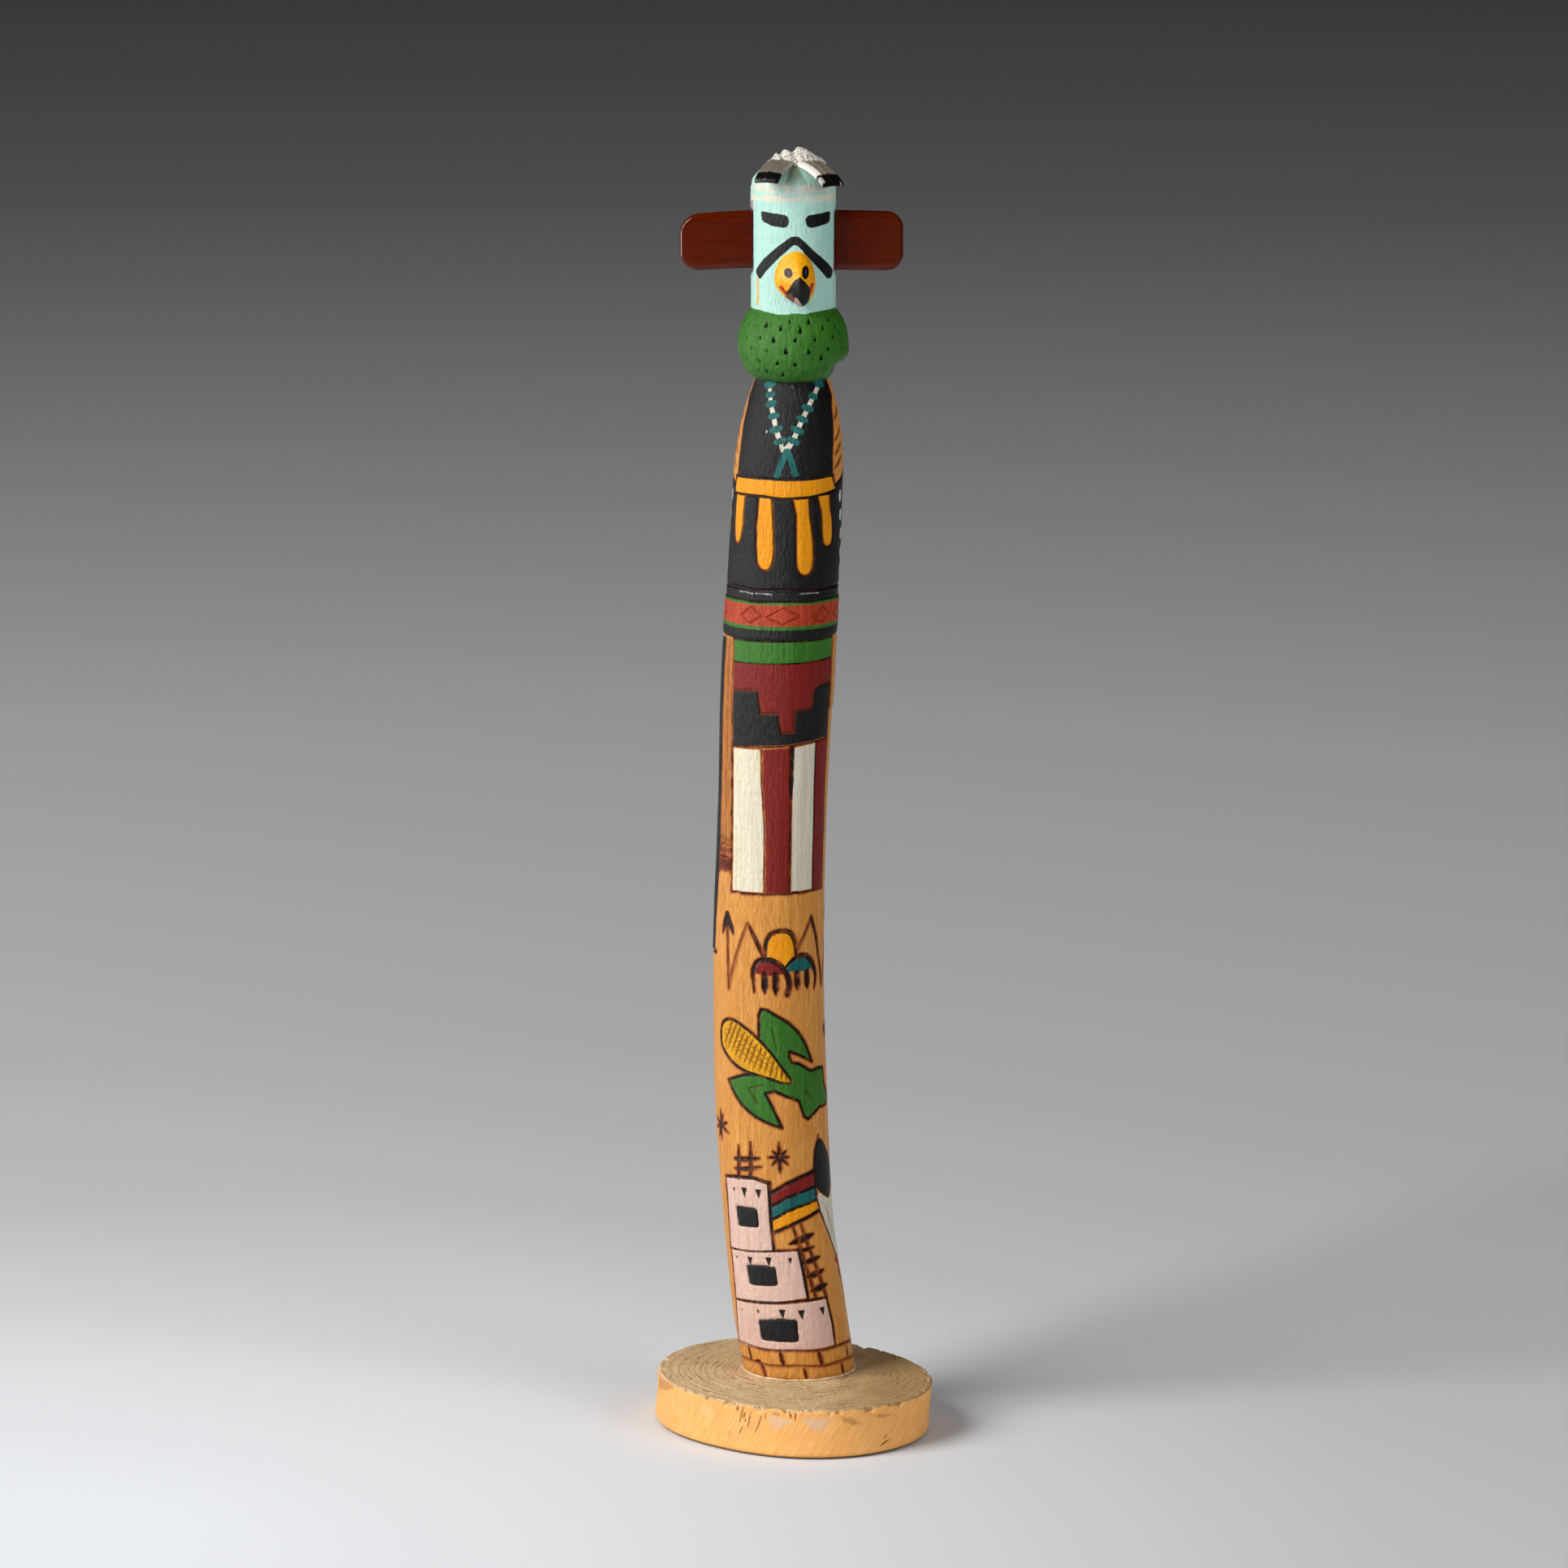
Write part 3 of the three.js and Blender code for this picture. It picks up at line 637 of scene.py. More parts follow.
def fringe_pictures():
    """The sash ends at both sides of the kilt, and the mantle that hangs down the back."""
    for k in range(6):
        share = k / 5
        top_place, bottom_place = -21 + share * 4.6, -20.6 + share * 6
        middle = (top_place + bottom_place) / 2 - 0.3
        cut([
            (top_place, 248.6), (middle, 212), (bottom_place, 184),
        ], width=0.5, depth=0.25, burn=(0.6, 0.3, 0.45)[k % 3], start=0.8, end=1)
    for row, (high, low) in enumerate(((187.6, 183.6), (184.4, 180.4), (180.8, 175.4))):
        for k in range(7):
            x = -21.2 + 1.08 * k + 0.15 * row
            cut([
                (x, high - 0.9 * scatter(k, row + 4)), (x + 0.1, low + 1.6 * scatter(k, row)),
            ], width=(0.42, 0.46, 0.55)[row], depth=0.3, burn=(0.85, 1, 1.3)[row], start=0.6, end=0.4)
    for height in (184.4, 180.6):
        cut([(-21.6, height), (-18, height + 0.3), (-14, height)], width=0.5, burn=0.9, start=0.6, end=0.6)
    edge = [(-21.9, 248.6), (-22.5, 226), (-22.2, 196), (-21.8, 176), (-22.6, 160), (-23.2, 149.6)]
    cut(edge, width=1.1, depth=0.3, start=1, end=0.5)
    back = [(-53.4, 149.8), (-53.4, 248.8)]
    paint("black", edge + [(around - 3.3, height) for around, height in edge[::-1]])
    paint("green", [(around - 0.5, height) for around, height in edge] + back)
    far = [(34.5, 248.6), (33.6, 200), (33, 149.6)]
    cut(far, width=1.35, depth=0.3, start=1, end=0.5)
    paint("green", [(around + 0.5, height) for around, height in far] + [(53.4, 149.8), (53.4, 248.8)])
    cut_rows([
        ([(33, 150), (43, 149.4), (53.4, 149.8)], 1.2, 1, 1, 1),
        ([(-53.4, 149.8), (-38, 149.3), (-21.4, 150.2)], 1.2, 1, 1, 1),
    ])
    for around in (-45.4, -37.4, -29.4, 42, 50):
        cut([
            (around - 0.8, 247), (around, 200), (around + 0.8, 152),
        ], width=0.8, burn=1, start=0.6, end=0.3)
    cut_rows([
        ([(24.4, 249), (24.9, 238), (25.2, 227)], 0.6, 0.5),
        ([(28.6, 249), (28.8, 238), (28.8, 227)], 0.6, 0.6),
    ])


def sky_pictures():
    """An arrow, two mountains, the sun and two clouds with rain."""
    cut_rows([
        ([(-14.9, 162.7), (-14.2, 153), (-13.6, 139.8)], 1, 0.7, 0.9, 0.8),
        ([(-14.9, 163.2), (-15.9, 160.6), (-16.8, 157.1)], 1.56, 1, 1, 0.25),
        ([(-14.9, 163.2), (-13.6, 160.6), (-11.9, 157.3)], 1.56, 1, 1, 0.25),
        ([(-14.9, 163), (-14.8, 159.5)], 1.88, 1, 0.8),
        ([(-13.6, 139.6), (-12.2, 145.5), (-9.2, 155), (-6.8, 161.2)], 1.12, 0.45, 0.9, 0.7),
        ([(-6.5, 160.6), (-4.4, 156.6), (-1.4, 150.8)], 1.19, 0.85, 0.6, 1),
        ([(8.5, 151.2), (11.2, 156), (14.6, 162.2)], 1.12, 0.6, 0.7, 0.9),
        ([(14.6, 162.2), (17.4, 155.6), (19.6, 146.8), (21.1, 139.4)], 1.19, 0.9, 1, 0.4),
        ([(21.3, 139.6), (24.6, 151), (28, 161.5)], 1.06, 0.8, 0.8, 0.4),
    ])
    paint("yellow", [
        (-0.6, 150.2), (-0.5, 155.2), (1, 158), (4.4, 158.6), (6.9, 157.5), (8.1, 154.6), (8.5, 151.2),
        (6.9, 149.9), (5.2, 147.6), (3.2, 149.3),
    ])
    cut(rounded([
        (-0.9, 150.3), (-1, 155.4), (0.8, 158.4), (4.4, 159), (7.1, 158.1), (8.4, 155), (8.8, 151.4),
    ], 1, closed=False), width=1.56, depth=0.42, burn=0.9, start=0.6, end=0.8)
    paint("maroon", rounded([
        (-4.2, 145.6), (-3.7, 148.4), (-0.6, 149.9), (2.8, 148.6), (5.2, 145.3), (0, 144.9),
    ], 1, share=0.15))
    cut(rounded([
        (-4.4, 139.6), (-5.1, 146.4), (-3.5, 149.5), (-0.4, 150.2), (3.2, 148.9), (5.6, 145.8), (6.7, 142),
        (5.8, 138.9),
    ], 1, closed=False), width=1.69, depth=0.42, burn=0.95, start=0.2, end=1)
    paint("teal", rounded([
        (4.9, 146.3), (7.2, 149.2), (10, 150.4), (13.2, 149.6), (15.9, 146), (10, 145.7),
    ], 1, share=0.15))
    cut(rounded([
        (5, 146.9), (7.4, 149.7), (10.4, 150.9), (13.6, 149.9), (16.1, 146.8), (17.2, 143), (16.3, 139.6),
    ], 1, closed=False), width=1.62, depth=0.42, burn=0.95, start=0.5, end=0.3)
    for x, low in ((-1.3, 139.4), (2.1, 138.8), (9.1, 140), (12.8, 140)):
        cut([(x, 145.4), (x + 0.1, 143.6), (x + 0.2, low)], width=1.88, depth=0.42, start=0.9, end=0.15)


def corn_pictures():
    """A maize cob, its rows of kernels and its leaves."""
    ear = rounded([
        (-17.5, 124.4), (-16.9, 128.2), (-14.4, 130.1), (-11.5, 130.2), (-8.3, 128.7), (-3.6, 125.4),
        (0.5, 120.7), (4.1, 115.4), (7.4, 110.7), (4, 110.8), (0.3, 112.3), (-3.3, 113.4), (-7.2, 114.3),
        (-11.5, 116.3), (-14.9, 119), (-17.1, 121.4),
    ], 1)
    paint("corn", ear)
    cut(ear, width=0.95, depth=0.4, closed=True, start=1, end=1)
    tip, butt = np.array((6.6, 111.4)), np.array((-14.6, 126.6))
    along = (tip - butt) / np.linalg.norm(tip - butt)
    side = np.array((-along[1], along[0]))
    length = float(np.linalg.norm(tip - butt))
    for k in range(14):
        share = (k + 0.6) / 14.6
        middle = butt + along * length * share
        reach = 4.6 * math.sqrt(max(0.05, 1 - (1.15 * share - 0.12) ** 2)) * (1 - 0.35 * share)
        lean = along * 0.9
        cut([tuple(middle - side * reach + lean), tuple(middle + side * reach - lean)], width=0.6,
            depth=0.36, burn=0.66, start=0.5, end=1)
    for shift in (-0.42, 0.04, 0.48):
        high = butt + side * 4.4 * shift - along * 0.4
        halfway = butt + along * length * 0.5 + side * 4 * shift
        low = tip - along * 5.5 + side * 1.9 * shift
        cut([tuple(high), tuple(halfway), tuple(low)], width=0.45, depth=0.3, burn=0.45, start=0.6,
            end=0.4)
    leaf = [
        (-3, 125.6), (-2.9, 132.5), (-2.2, 134.3), (-0.5, 134), (5.7, 130.1), (9.2, 126.8), (11.8, 122.9),
        (14.5, 116.7), (10.6, 118.9), (6.3, 120.9), (6.1, 119.2), (7, 117.2), (9.5, 116.5), (13.9, 113.7),
        (17.4, 114.1), (20.6, 113.6), (21.2, 108.5), (25.4, 103.6), (22.6, 101.6), (17.5, 101.7),
        (14.6, 100.2), (12.1, 98.8), (10.7, 99.8), (9.1, 104.9), (5.1, 106.6), (1.4, 108.5), (-1.6, 107.8),
        (0.8, 102.6), (3.1, 96.8), (-1.4, 98.5), (-5.1, 100.5), (-9, 103.5), (-11.8, 107), (-14.1, 110.9),
        (-7.8, 113.3), (-3.3, 113.5), (0.3, 112.3), (4, 110.9), (7.4, 110.7), (4.1, 115.4), (0.5, 120.7),
    ]
    paint("green", leaf)
    cut_rows([
        (leaf[:38], 0.85, 1, 1, 1, 0.36),
        ([(-2, 110.3), (-6.9, 109)], 0.7, 0.35, 0.6, 0.6, 0.36),
        ([(-6.9, 109), (-3.6, 104)], 0.7, 0.35, 0.6, 0.6, 0.36),
        ([(0.9, 128.6), (2.6, 120.9)], 0.7, 0.2, 0.6, 0.6, 0.34),
        ([(11.5, 108), (15, 104)], 0.6, 0.2, 0.6, 0.6, 0.3),
    ])


def star(around, height, tall, wide, lean=0.0, burn=0.9):
    cut_rows([
        ([(around, height + tall), (around, height)], 1, burn, 0.25, 1),
        ([(around, height), (around - 0.1, height - tall)], 1, burn, 1, 0.25),
    ])
    for turn in (lean, 45 + lean, 135 + lean):
        dx, dz = wide * math.cos(math.radians(turn)), wide * math.sin(math.radians(turn))
        cut_rows([
            ([(around - dx, height - dz), (around, height)], 0.85, burn, 0.3, 1),
            ([(around, height), (around + dx * 0.85, height + dz * 0.85)], 0.85, burn, 1, 0.3),
        ])


def stars():
    star(-19.3, 95.6, 5, 4.6, 20)
    star(2, 87.4, 4.9, 3.5)
    star(24.2, 125.4, 3, 2.2)
    for around, height in ((38, 132), (-40, 118), (47, 98), (-33, 76), (44, 62), (-46, 44), (34, 112)):
        star(around, height, 4.2, 2.8, 8)
    cut_rows([
        ([(24.6, 163), (24.8, 160.2)],),
        ([(23.5, 49.5), (23.9, 45.5)], 0.9, 1, 0.5, 0.3),
        ([(21.6, 52.4), (22.6, 50.6)], 0.7, 1, 0.7, 0.3),
        ([(24.6, 47), (24.9, 39.5)], 0.6, 0.6, 0.5, 0.2),
    ])


def village():
    """A pueblo of three blocks with a ladder's posts on its roof, windows and beam ends."""
    posts = [[(-11.2, 90.4), (-11.4, 85), (-12, 79.6)], [(-6.9, 92), (-7, 86), (-7.6, 80.6)]]
    for post in posts:
        cut(post, width=1.25, burn=0.8, start=0.3, end=0.9)
    cut_rows([
        ([(-13.1, 85.9), (-9, 86.3), (-4.2, 87)], 1.55, 1, 0.45, 0.2),
        ([(-13.2, 82.8), (-9, 83.2), (-3.8, 84.3)], 1.15, 1, 0.4, 0.2),
    ])
    upper = [
        (-18.3, 78.9), (-12.1, 80.1), (-6.7, 80), (-2.1, 78.6), (-2.3, 68), (-2.4, 57.7), (-10, 56.8),
        (-19, 56.6), (-18.6, 68),
    ]
    middle = [(-18.8, 55.8), (-8, 56.9), (5.5, 57.3), (6.2, 50), (6.4, 42.4), (-6, 40.9), (-19.3, 40.2)]
    lower = [
        (-19.2, 39.4), (-2.4, 40.4), (13, 41.2), (13.8, 33), (13.7, 26.3), (5.3, 25.8), (-10, 25.8),
        (-22.4, 25), (-21, 32),
    ]
    for block in (upper, middle, lower):
        paint("pink", block)
    cut_rows([
        ([(-19.2, 56.4), (-18.8, 68), (-18.4, 79)], 0.55, 0.85, 1, 1),
        ([(-18.6, 79.3), (-12.1, 80.2), (-6.7, 80.5), (-1.9, 79.2)], 1.15, 1, 0.7, 1, 0.42),
        ([(-1.8, 79.2), (-2.1, 68), (-2.1, 57.6)], 1.15, 1, 1.15, 0.8, 0.42),
        ([(-19.2, 56.2), (-10, 56.7), (-2.3, 57.4), (5.7, 57.7)], 0.7, 0.9, 1, 1),
        ([(-19.5, 39.8), (-19.1, 48), (-18.8, 56.2)], 0.55, 0.85, 1, 1),
        ([(5.7, 57.7), (6.4, 50), (6.7, 42)], 1.1, 1, 1, 0.8, 0.4),
        ([(-19.4, 39.8), (-12, 40.5), (-3, 40.9), (4, 41.5), (13.4, 41.4)], 0.85, 1, 0.8, 0.9),
        ([(-22.6, 25.2), (-20.6, 33), (-19.4, 39.8)], 0.5, 0.8, 1, 1),
        ([(13.3, 41.3), (14.1, 33), (13.9, 25.9)], 0.8, 1, 0.9, 0.8),
    ])
    windows = [
        [(-14.5, 70.8), (-6.3, 71), (-6, 64.7), (-13.9, 64.2)],
        [(-12.1, 52.2), (-6, 52.8), (-2.1, 52.3), (-2, 46.3), (-11.5, 45.8)],
        [(-10.1, 34.9), (-3, 35.9), (2.4, 35.6), (1.9, 28.3), (-10, 28.3)],
    ]
    for window in windows:
        paint("black", rounded(window, 2, share=0.09))
        cut(rounded(window, 1, share=0.06), width=0.55, depth=0.3, burn=0, closed=True, start=1, end=1)
    beams = [
        (-14.7, 75.9, 0.55), (-10.3, 76.2, 0.95), (-5.4, 76.2, 0.9), (-16.1, 53.8, 0.45),
        (-10.4, 54.1, 0.85), (-4, 54.6, 0.9), (2.7, 54.7, 0.6), (-16.6, 36.8, 0.4), (-9.7, 37.6, 0.5),
        (-1.8, 38, 0.9), (4, 37.7, 0.95), (11.1, 38, 0.85),
    ]
    beam_ends.extend(beams)


def rainbow_and_ladder():
    lines = [
        [(-1.4, 75.9), (5.2, 79.7), (14, 82.2)],
        [(-1.7, 71.6), (4.8, 75.1), (13.8, 77.1)],
        [(-1.6, 67.5), (5.3, 71), (14.1, 72.6)],
        [(-1.4, 63.4), (5.5, 66.3), (14.5, 69.2)],
    ]
    for colour, over, under in zip(("maroon", "teal", "yellow"), lines, lines[1:]):
        paint(colour, over + under[::-1])
    for line, width in zip(lines, (1.2, 1.05, 1.05, 1.15)):
        cut(rounded(line, 1, closed=False), width=width, depth=0.36, start=1, end=1)
    cut_rows([
        ([(4.4, 66.2), (6.5, 57.6), (8, 50), (9.5, 41.9)], 1.15, 0.72, 0.6, 1),
        ([(7.2, 66.2), (9.6, 57.2), (11.6, 50), (13.4, 41.8)], 1.15, 0.72, 0.8, 1),
    ])
    rungs = [
        ((3.2, 59.7), (11.3, 62.1), 2.1), ((5.7, 57.1), (11.2, 58), 1.1),
        ((6.6, 53.2), (12.9, 54.6), 1.55), ((7.4, 48.8), (13.9, 50.2), 1.75),
        ((8.1, 44.3), (14.4, 45.6), 1.85),
    ]
    for start, end, width in rungs:
        cut([start, end], width=width, depth=0.36, start=0.25, end=0.25)


def side_feather():
    paint("black", rounded([
        (16.3, 92.6), (14.4, 88), (13.7, 82.6), (13.9, 76), (17.4, 73.4), (21, 71.4), (25.4, 75.6),
        (25.8, 79.7), (23.2, 85), (19.4, 89.9),
    ], 1))
    paint("white", rounded([
        (14.2, 75.2), (17.5, 73.2), (21.2, 71), (25.6, 75.4), (30.5, 66), (28.8, 54), (23.8, 52.2),
        (21, 57.6), (17.6, 64), (15.2, 69.2),
    ], 1))
    cut([
        (16.2, 92.8), (14.2, 88), (13.5, 82.6), (13.8, 75.6), (15.1, 69), (18.4, 62.2), (22.6, 53.4),
        (24.6, 45),
    ], width=0.7, depth=0.32, burn=0.9, start=0.8, end=0.4)
    for k in range(6):
        along = k / 5
        x, z = 17 + 7.6 * along, 71 - 15 * along
        cut([(x, z), (x + 3.4, z - 4.2)], width=0.5, depth=0.3, burn=0.3)
    paint("maroon", [(24.6, 84.4), (28.5, 84.6), (28.5, 87.6), (24, 87.9)])


def bricks():
    ring(25.5, width=0.7, burn=0.75)
    ring(20.4, width=0.65, burn=0.6)
    for k in range(11):
        wide = 1.25 if k % 3 else 0.75
        cut([
            (-51.5 + 11.9 * k - 0.4, 24.9), (-51.5 + 11.9 * k, 20.8),
        ], width=wide, burn=0.85, start=0.5, end=0.5)
    for k in range(8):
        cut([
            (-51 + 13.3 * k, 19.9), (-51 + 13.3 * k + 0.3, 16.3),
        ], width=0.85, burn=0.8, start=0.6, end=0.7)
    cut_rows([
        ([(-12.6, 20.9), (-11.6, 20.1), (-11.2, 18.2), (-11.4, 16.8)], 0.9, 0.8, 0.8, 0.3),
        ([(-13.6, 20.7), (-12.1, 21)], 1.3, 0.9, 0.6, 0.6, 0.4),
    ])


for picture in (mask_pictures, torso_pictures, sash_pictures, necklace, belt_pictures, kilt_pictures,
                fringe_pictures, sky_pictures, corn_pictures, stars, village, rainbow_and_ladder,
                side_feather, bricks):
    picture()

# ---------------------------------------------------------------- measuring places against the pictures

PITS_IN_FRONT = [  # the ruff's gouge marks as seen from the front: across, height, size
    (-9.1, 345.7, 1.15), (-4.7, 344.9, 1.1), (-2.0, 346.9, 0.8), (1.3, 344.3, 1.2), (3.9, 346.8, 1.1),
    (9.8, 347.0, 0.85), (11.8, 344.7, 0.8), (8.1, 344.9, 0.9), (-11.0, 341.9, 0.9), (-6.9, 341.4, 1.25),
    (-0.2, 341.6, 1.0), (5.8, 341.6, 0.9), (11.2, 341.9, 0.9), (-13.7, 338.4, 0.8), (-3.1, 337.9, 1.25),
    (3.9, 337.8, 1.15), (9.7, 338.5, 1.0), (14.0, 338.3, 0.9), (-14.9, 334.7, 0.8), (-11.1, 334.5, 0.9),
    (-5.7, 334.3, 1.0), (-0.3, 334.0, 1.0), (7.6, 335.8, 1.2), (-8.8, 331.5, 1.0), (-4.0, 330.5, 0.95),
    (-11.4, 331.7, 0.7), (11.4, 332.8, 0.8), (1.9, 331.1, 0.6), (-14.4, 345.6, 0.7), (-11.9, 345.4, 0.7),
    (-15.1, 341.5, 0.7), (-8.9, 338.1, 0.6),
]
PITS_PER_ROW = (12, 14)
PIT_ROWS = (331.0, 334.3, 337.6, 341.0, 344.4, 347.3)
FRONT_SHARE = 0.25  # of a turn, either way, has the marks above instead of rows


def ruff_pits():
    """Small gouge nicks: place, size, depth and turn."""
    for across, height, size in PITS_IN_FRONT:
        share = (across - float(bow(height))) / float(half_width(height))
        around = UNROLL * math.asin(max(-0.97, min(0.97, share)))
        yield around, height, 0.55 * size, 0.9, math.pi + 0.5 * (scatter(size, across) - 0.5)
    for row, height in enumerate(PIT_ROWS):
        count = PITS_PER_ROW[row % 2]
        for k in range(count):
            turn = ((k + (row % 2) / 2 + 0.5 * (scatter(row, k) - 0.5)) / count - 0.5) % 1 - 0.5
            if abs(turn) > FRONT_SHARE:
                yield (turn * TAU * UNROLL, height + 1.6 * (scatter(k, row + 7) - 0.5),
                       0.45 + 0.16 * scatter(k + 3, row), 0.9, math.pi + 1.2 * (scatter(k, row + 2) - 0.5))


def near(points, outline, margin):
    """The numbers of the points that lie within margin of an outline's box."""
    corners = np.array(outline)
    low, high = corners.min(axis=0) - margin, corners.max(axis=0) + margin
    return np.flatnonzero(np.all((points >= low) & (points <= high), axis=1))


def segment_distance(points, a, b):
    """How far each point is from the segment a-b, and the share of it at the nearest place."""
    edge = b - a
    share = np.clip(((points - a) @ edge) / (edge @ edge + 1e-12), 0, 1)
    gap = points - (a + share[:, None] * edge)
    return np.hypot(gap[:, 0], gap[:, 1]), share


def signed_distance(points, outline):
    """How deep each point is inside an outline; negative outside."""
    corners = np.array(outline, float)
    nearest = np.full(len(points), 1e9)
    inside = np.zeros(len(points), bool)
    for a, b in zip(corners, np.roll(corners, -1, axis=0)):
        nearest = np.minimum(nearest, segment_distance(points, a, b)[0])
        rise = b[1] - a[1]
        if rise:
            beside = points[:, 0] < a[0] + (b[0] - a[0]) * (points[:, 1] - a[1]) / rise
            inside ^= ((a[1] > points[:, 1]) != (b[1] > points[:, 1])) & beside
    return np.where(inside, nearest, -nearest)


def measure_area(points, outlines):
    deep = np.full(len(points), -FAR)
    for outline in outlines:
        chosen = near(points, outline, FAR)
        if len(chosen):
            found = np.clip(signed_distance(points[chosen], outline), -FAR, FAR)
            deep[chosen] = np.maximum(deep[chosen], found)
    return deep


def measure_cuts(points, cuts):
    """For each point: how deep it is inside the nearest cut, that cut's depth there, and its burn."""
    inside = np.full(len(points), -FAR)
    groove = np.zeros(len(points))
    burn = np.zeros(len(points))
    for path, width, depth, strength, start, end in cuts:
        chosen = near(points, path, FAR)
        if not len(chosen):
            continue
        corners = np.array(path, float)
        steps = np.hypot(*np.diff(corners, axis=0).T)
        run = np.concatenate([[0], np.cumsum(steps)]) / steps.sum()
        best = np.full(len(chosen), -FAR)
        size = np.full(len(chosen), width / 2)
        for a, b, from_run, to_run in zip(corners, corners[1:], run, run[1:]):
            gap, share = segment_distance(points[chosen], a, b)
            along = from_run + share * (to_run - from_run)
            half = width / 2 * np.interp(along, [0, 0.35, 0.7, 1], [start, 1, 1, end])
            closer = half - gap > best
            best = np.where(closer, half - gap, best)
            size = np.where(closer, half, size)
        closer = best > inside[chosen]
        inside[chosen] = np.maximum(inside[chosen], best)
        burn[chosen] = np.where(closer, strength, burn[chosen])
        cut_here = depth * smooth_step(best / size, -0.15, 0.95)
        groove[chosen] = np.maximum(groove[chosen], cut_here)
    return inside, groove, burn


def measure_pits(points):
    """How deep each point is inside a three-sided gouge mark, and how far the mark sinks there."""
    inside = np.full(len(points), -FAR)
    sink = np.zeros(len(points))
    for around, height, size, deep, turn in pits:
        chosen = near(points, [(around, height)], FAR + size)
        x, z = (points[chosen] - (around, height)).T
        across, up = x * math.cos(turn) + z * math.sin(turn), z * math.cos(turn) - x * math.sin(turn)
        found = size - np.maximum(up, 0.95 * np.abs(across) - 0.32 * up)
        inside[chosen] = np.maximum(inside[chosen], np.clip(found, -FAR, FAR))
        sink[chosen] = np.maximum(sink[chosen], deep * smooth_step(found / size, 0, 0.9))
    return inside, sink


pits = list(ruff_pits()) + [(around, height, 0.98 * size, 0.85, 0.0) for around, height, size in beam_ends]


# ---------------------------------------------------------------- mesh building


def fill_fan(boundary, centre):
    return [(a, b, centre) for a, b in zip(boundary, boundary[1:] + boundary[:1])]


def make_piece(name, points, faces, material, nodes=(), attributes=None, place=None, uv=None):
    """A smooth mesh on the body, from points in millimetres, with numbers kept at its points."""
    points = np.asarray(points, float)
    mesh = bpy.data.meshes.new(name)
    mesh.from_pydata((points * MM).tolist(), [], faces)
    mesh.polygons.foreach_set("use_smooth", [True] * len(mesh.polygons))
    stored = mesh.attributes.new("place", "FLOAT_VECTOR", "POINT")
    stored.data.foreach_set("vector", np.asarray(points if place is None else place, np.float32).ravel())
    for key, values in (attributes or {}).items():
        stored = mesh.attributes.new(key, "FLOAT", "POINT")
        stored.data.foreach_set("value", np.asarray(values, np.float32))
    if uv is not None:
        layer = mesh.uv_layers.new(name="OFBake")
        layer.data.foreach_set("uv", np.asarray(uv, np.float32).ravel())
    mesh.materials.append(material)
    mesh.validate()
    piece = bpy.data.objects.new(name, mesh)
    bpy.context.scene.collection.objects.link(piece)
    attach(piece, "root")
    if nodes:
        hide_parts(*nodes)
    return piece


def loft(rings):
    """Points and faces of a body through rings of points, fanned shut at both ends."""
    count = len(rings[0])
    points = [point for ring in rings for point in ring]
    faces = []
    for r in range(len(rings) - 1):
        for k in range(count):
            a, b = r * count + k, r * count + (k + 1) % count
            faces.append((a, b, b + count, a + count))
    for ring, start, turn in ((rings[0], 0, -1), (rings[-1], (len(rings) - 1) * count, 1)):
        points.append(tuple(np.mean(ring, axis=0)))
        faces += fill_fan([start + k for k in range(count)][::turn], len(points) - 1)
    return points, faces


# ---------------------------------------------------------------- the carved and painted root

COLUMNS, ROWS, LEVELS = 39, 145, 3
LAST_REACH = 0.25  # the smallest squares keep this much closer to the lines
LATTICE = (COLUMNS * 2 ** LEVELS, ROWS * 2 ** LEVELS)
CELL = Profile.length / ROWS


def lattice_angle(column):
    return -math.pi + TAU * column / LATTICE[0]


def lattice_walk(row):
    return Profile.length * row / LATTICE[1]


def unrolled(nodes):
    """Places (around, height) of lattice nodes."""
    height = Profile.height(lattice_walk(nodes[:, 1]))
    return np.stack([UNROLL * lattice_angle(nodes[:, 0]), height], axis=1)


def surface_cells():
    """The unrolled surface in squares of the lattice, smaller where lines and edges run."""
    size = 2 ** LEVELS
    columns, rows = np.meshgrid(np.arange(COLUMNS) * size, np.arange(ROWS) * size, indexing="ij")
    cells = np.stack([columns.ravel(), rows.ravel()], axis=1)
    done = []
    for level in range(LEVELS):
        last = level == LEVELS - 1
        spots = unrolled(cells + size / 2)
        beads = np.maximum(measure_area(spots, areas["teal"]), measure_area(spots, areas["white"]))
        line = np.maximum(measure_cuts(spots, cuts)[0], measure_pits(spots)[0])
        reach = 0.72 * CELL * size / 2 ** LEVELS
        near_line = LAST_REACH * reach if last else reach
        split = (-line < near_line) | (np.abs(beads) < near_line)
        if not last:
            for outlines in (*areas.values(), wings):
                split |= np.abs(measure_area(spots, outlines)) < reach
            split |= within(spots[:, 1], RUFF_BOTTOM - 1, RUFF_TOP + 1, 0.1) > 0.5
        done.append((cells[~split], size))
        size //= 2
        quarters = ((0, 0), (size, 0), (0, size), (size, size))
        cells = np.concatenate([cells[split] + quarter for quarter in quarters])
    done.append((cells, size))
    return done


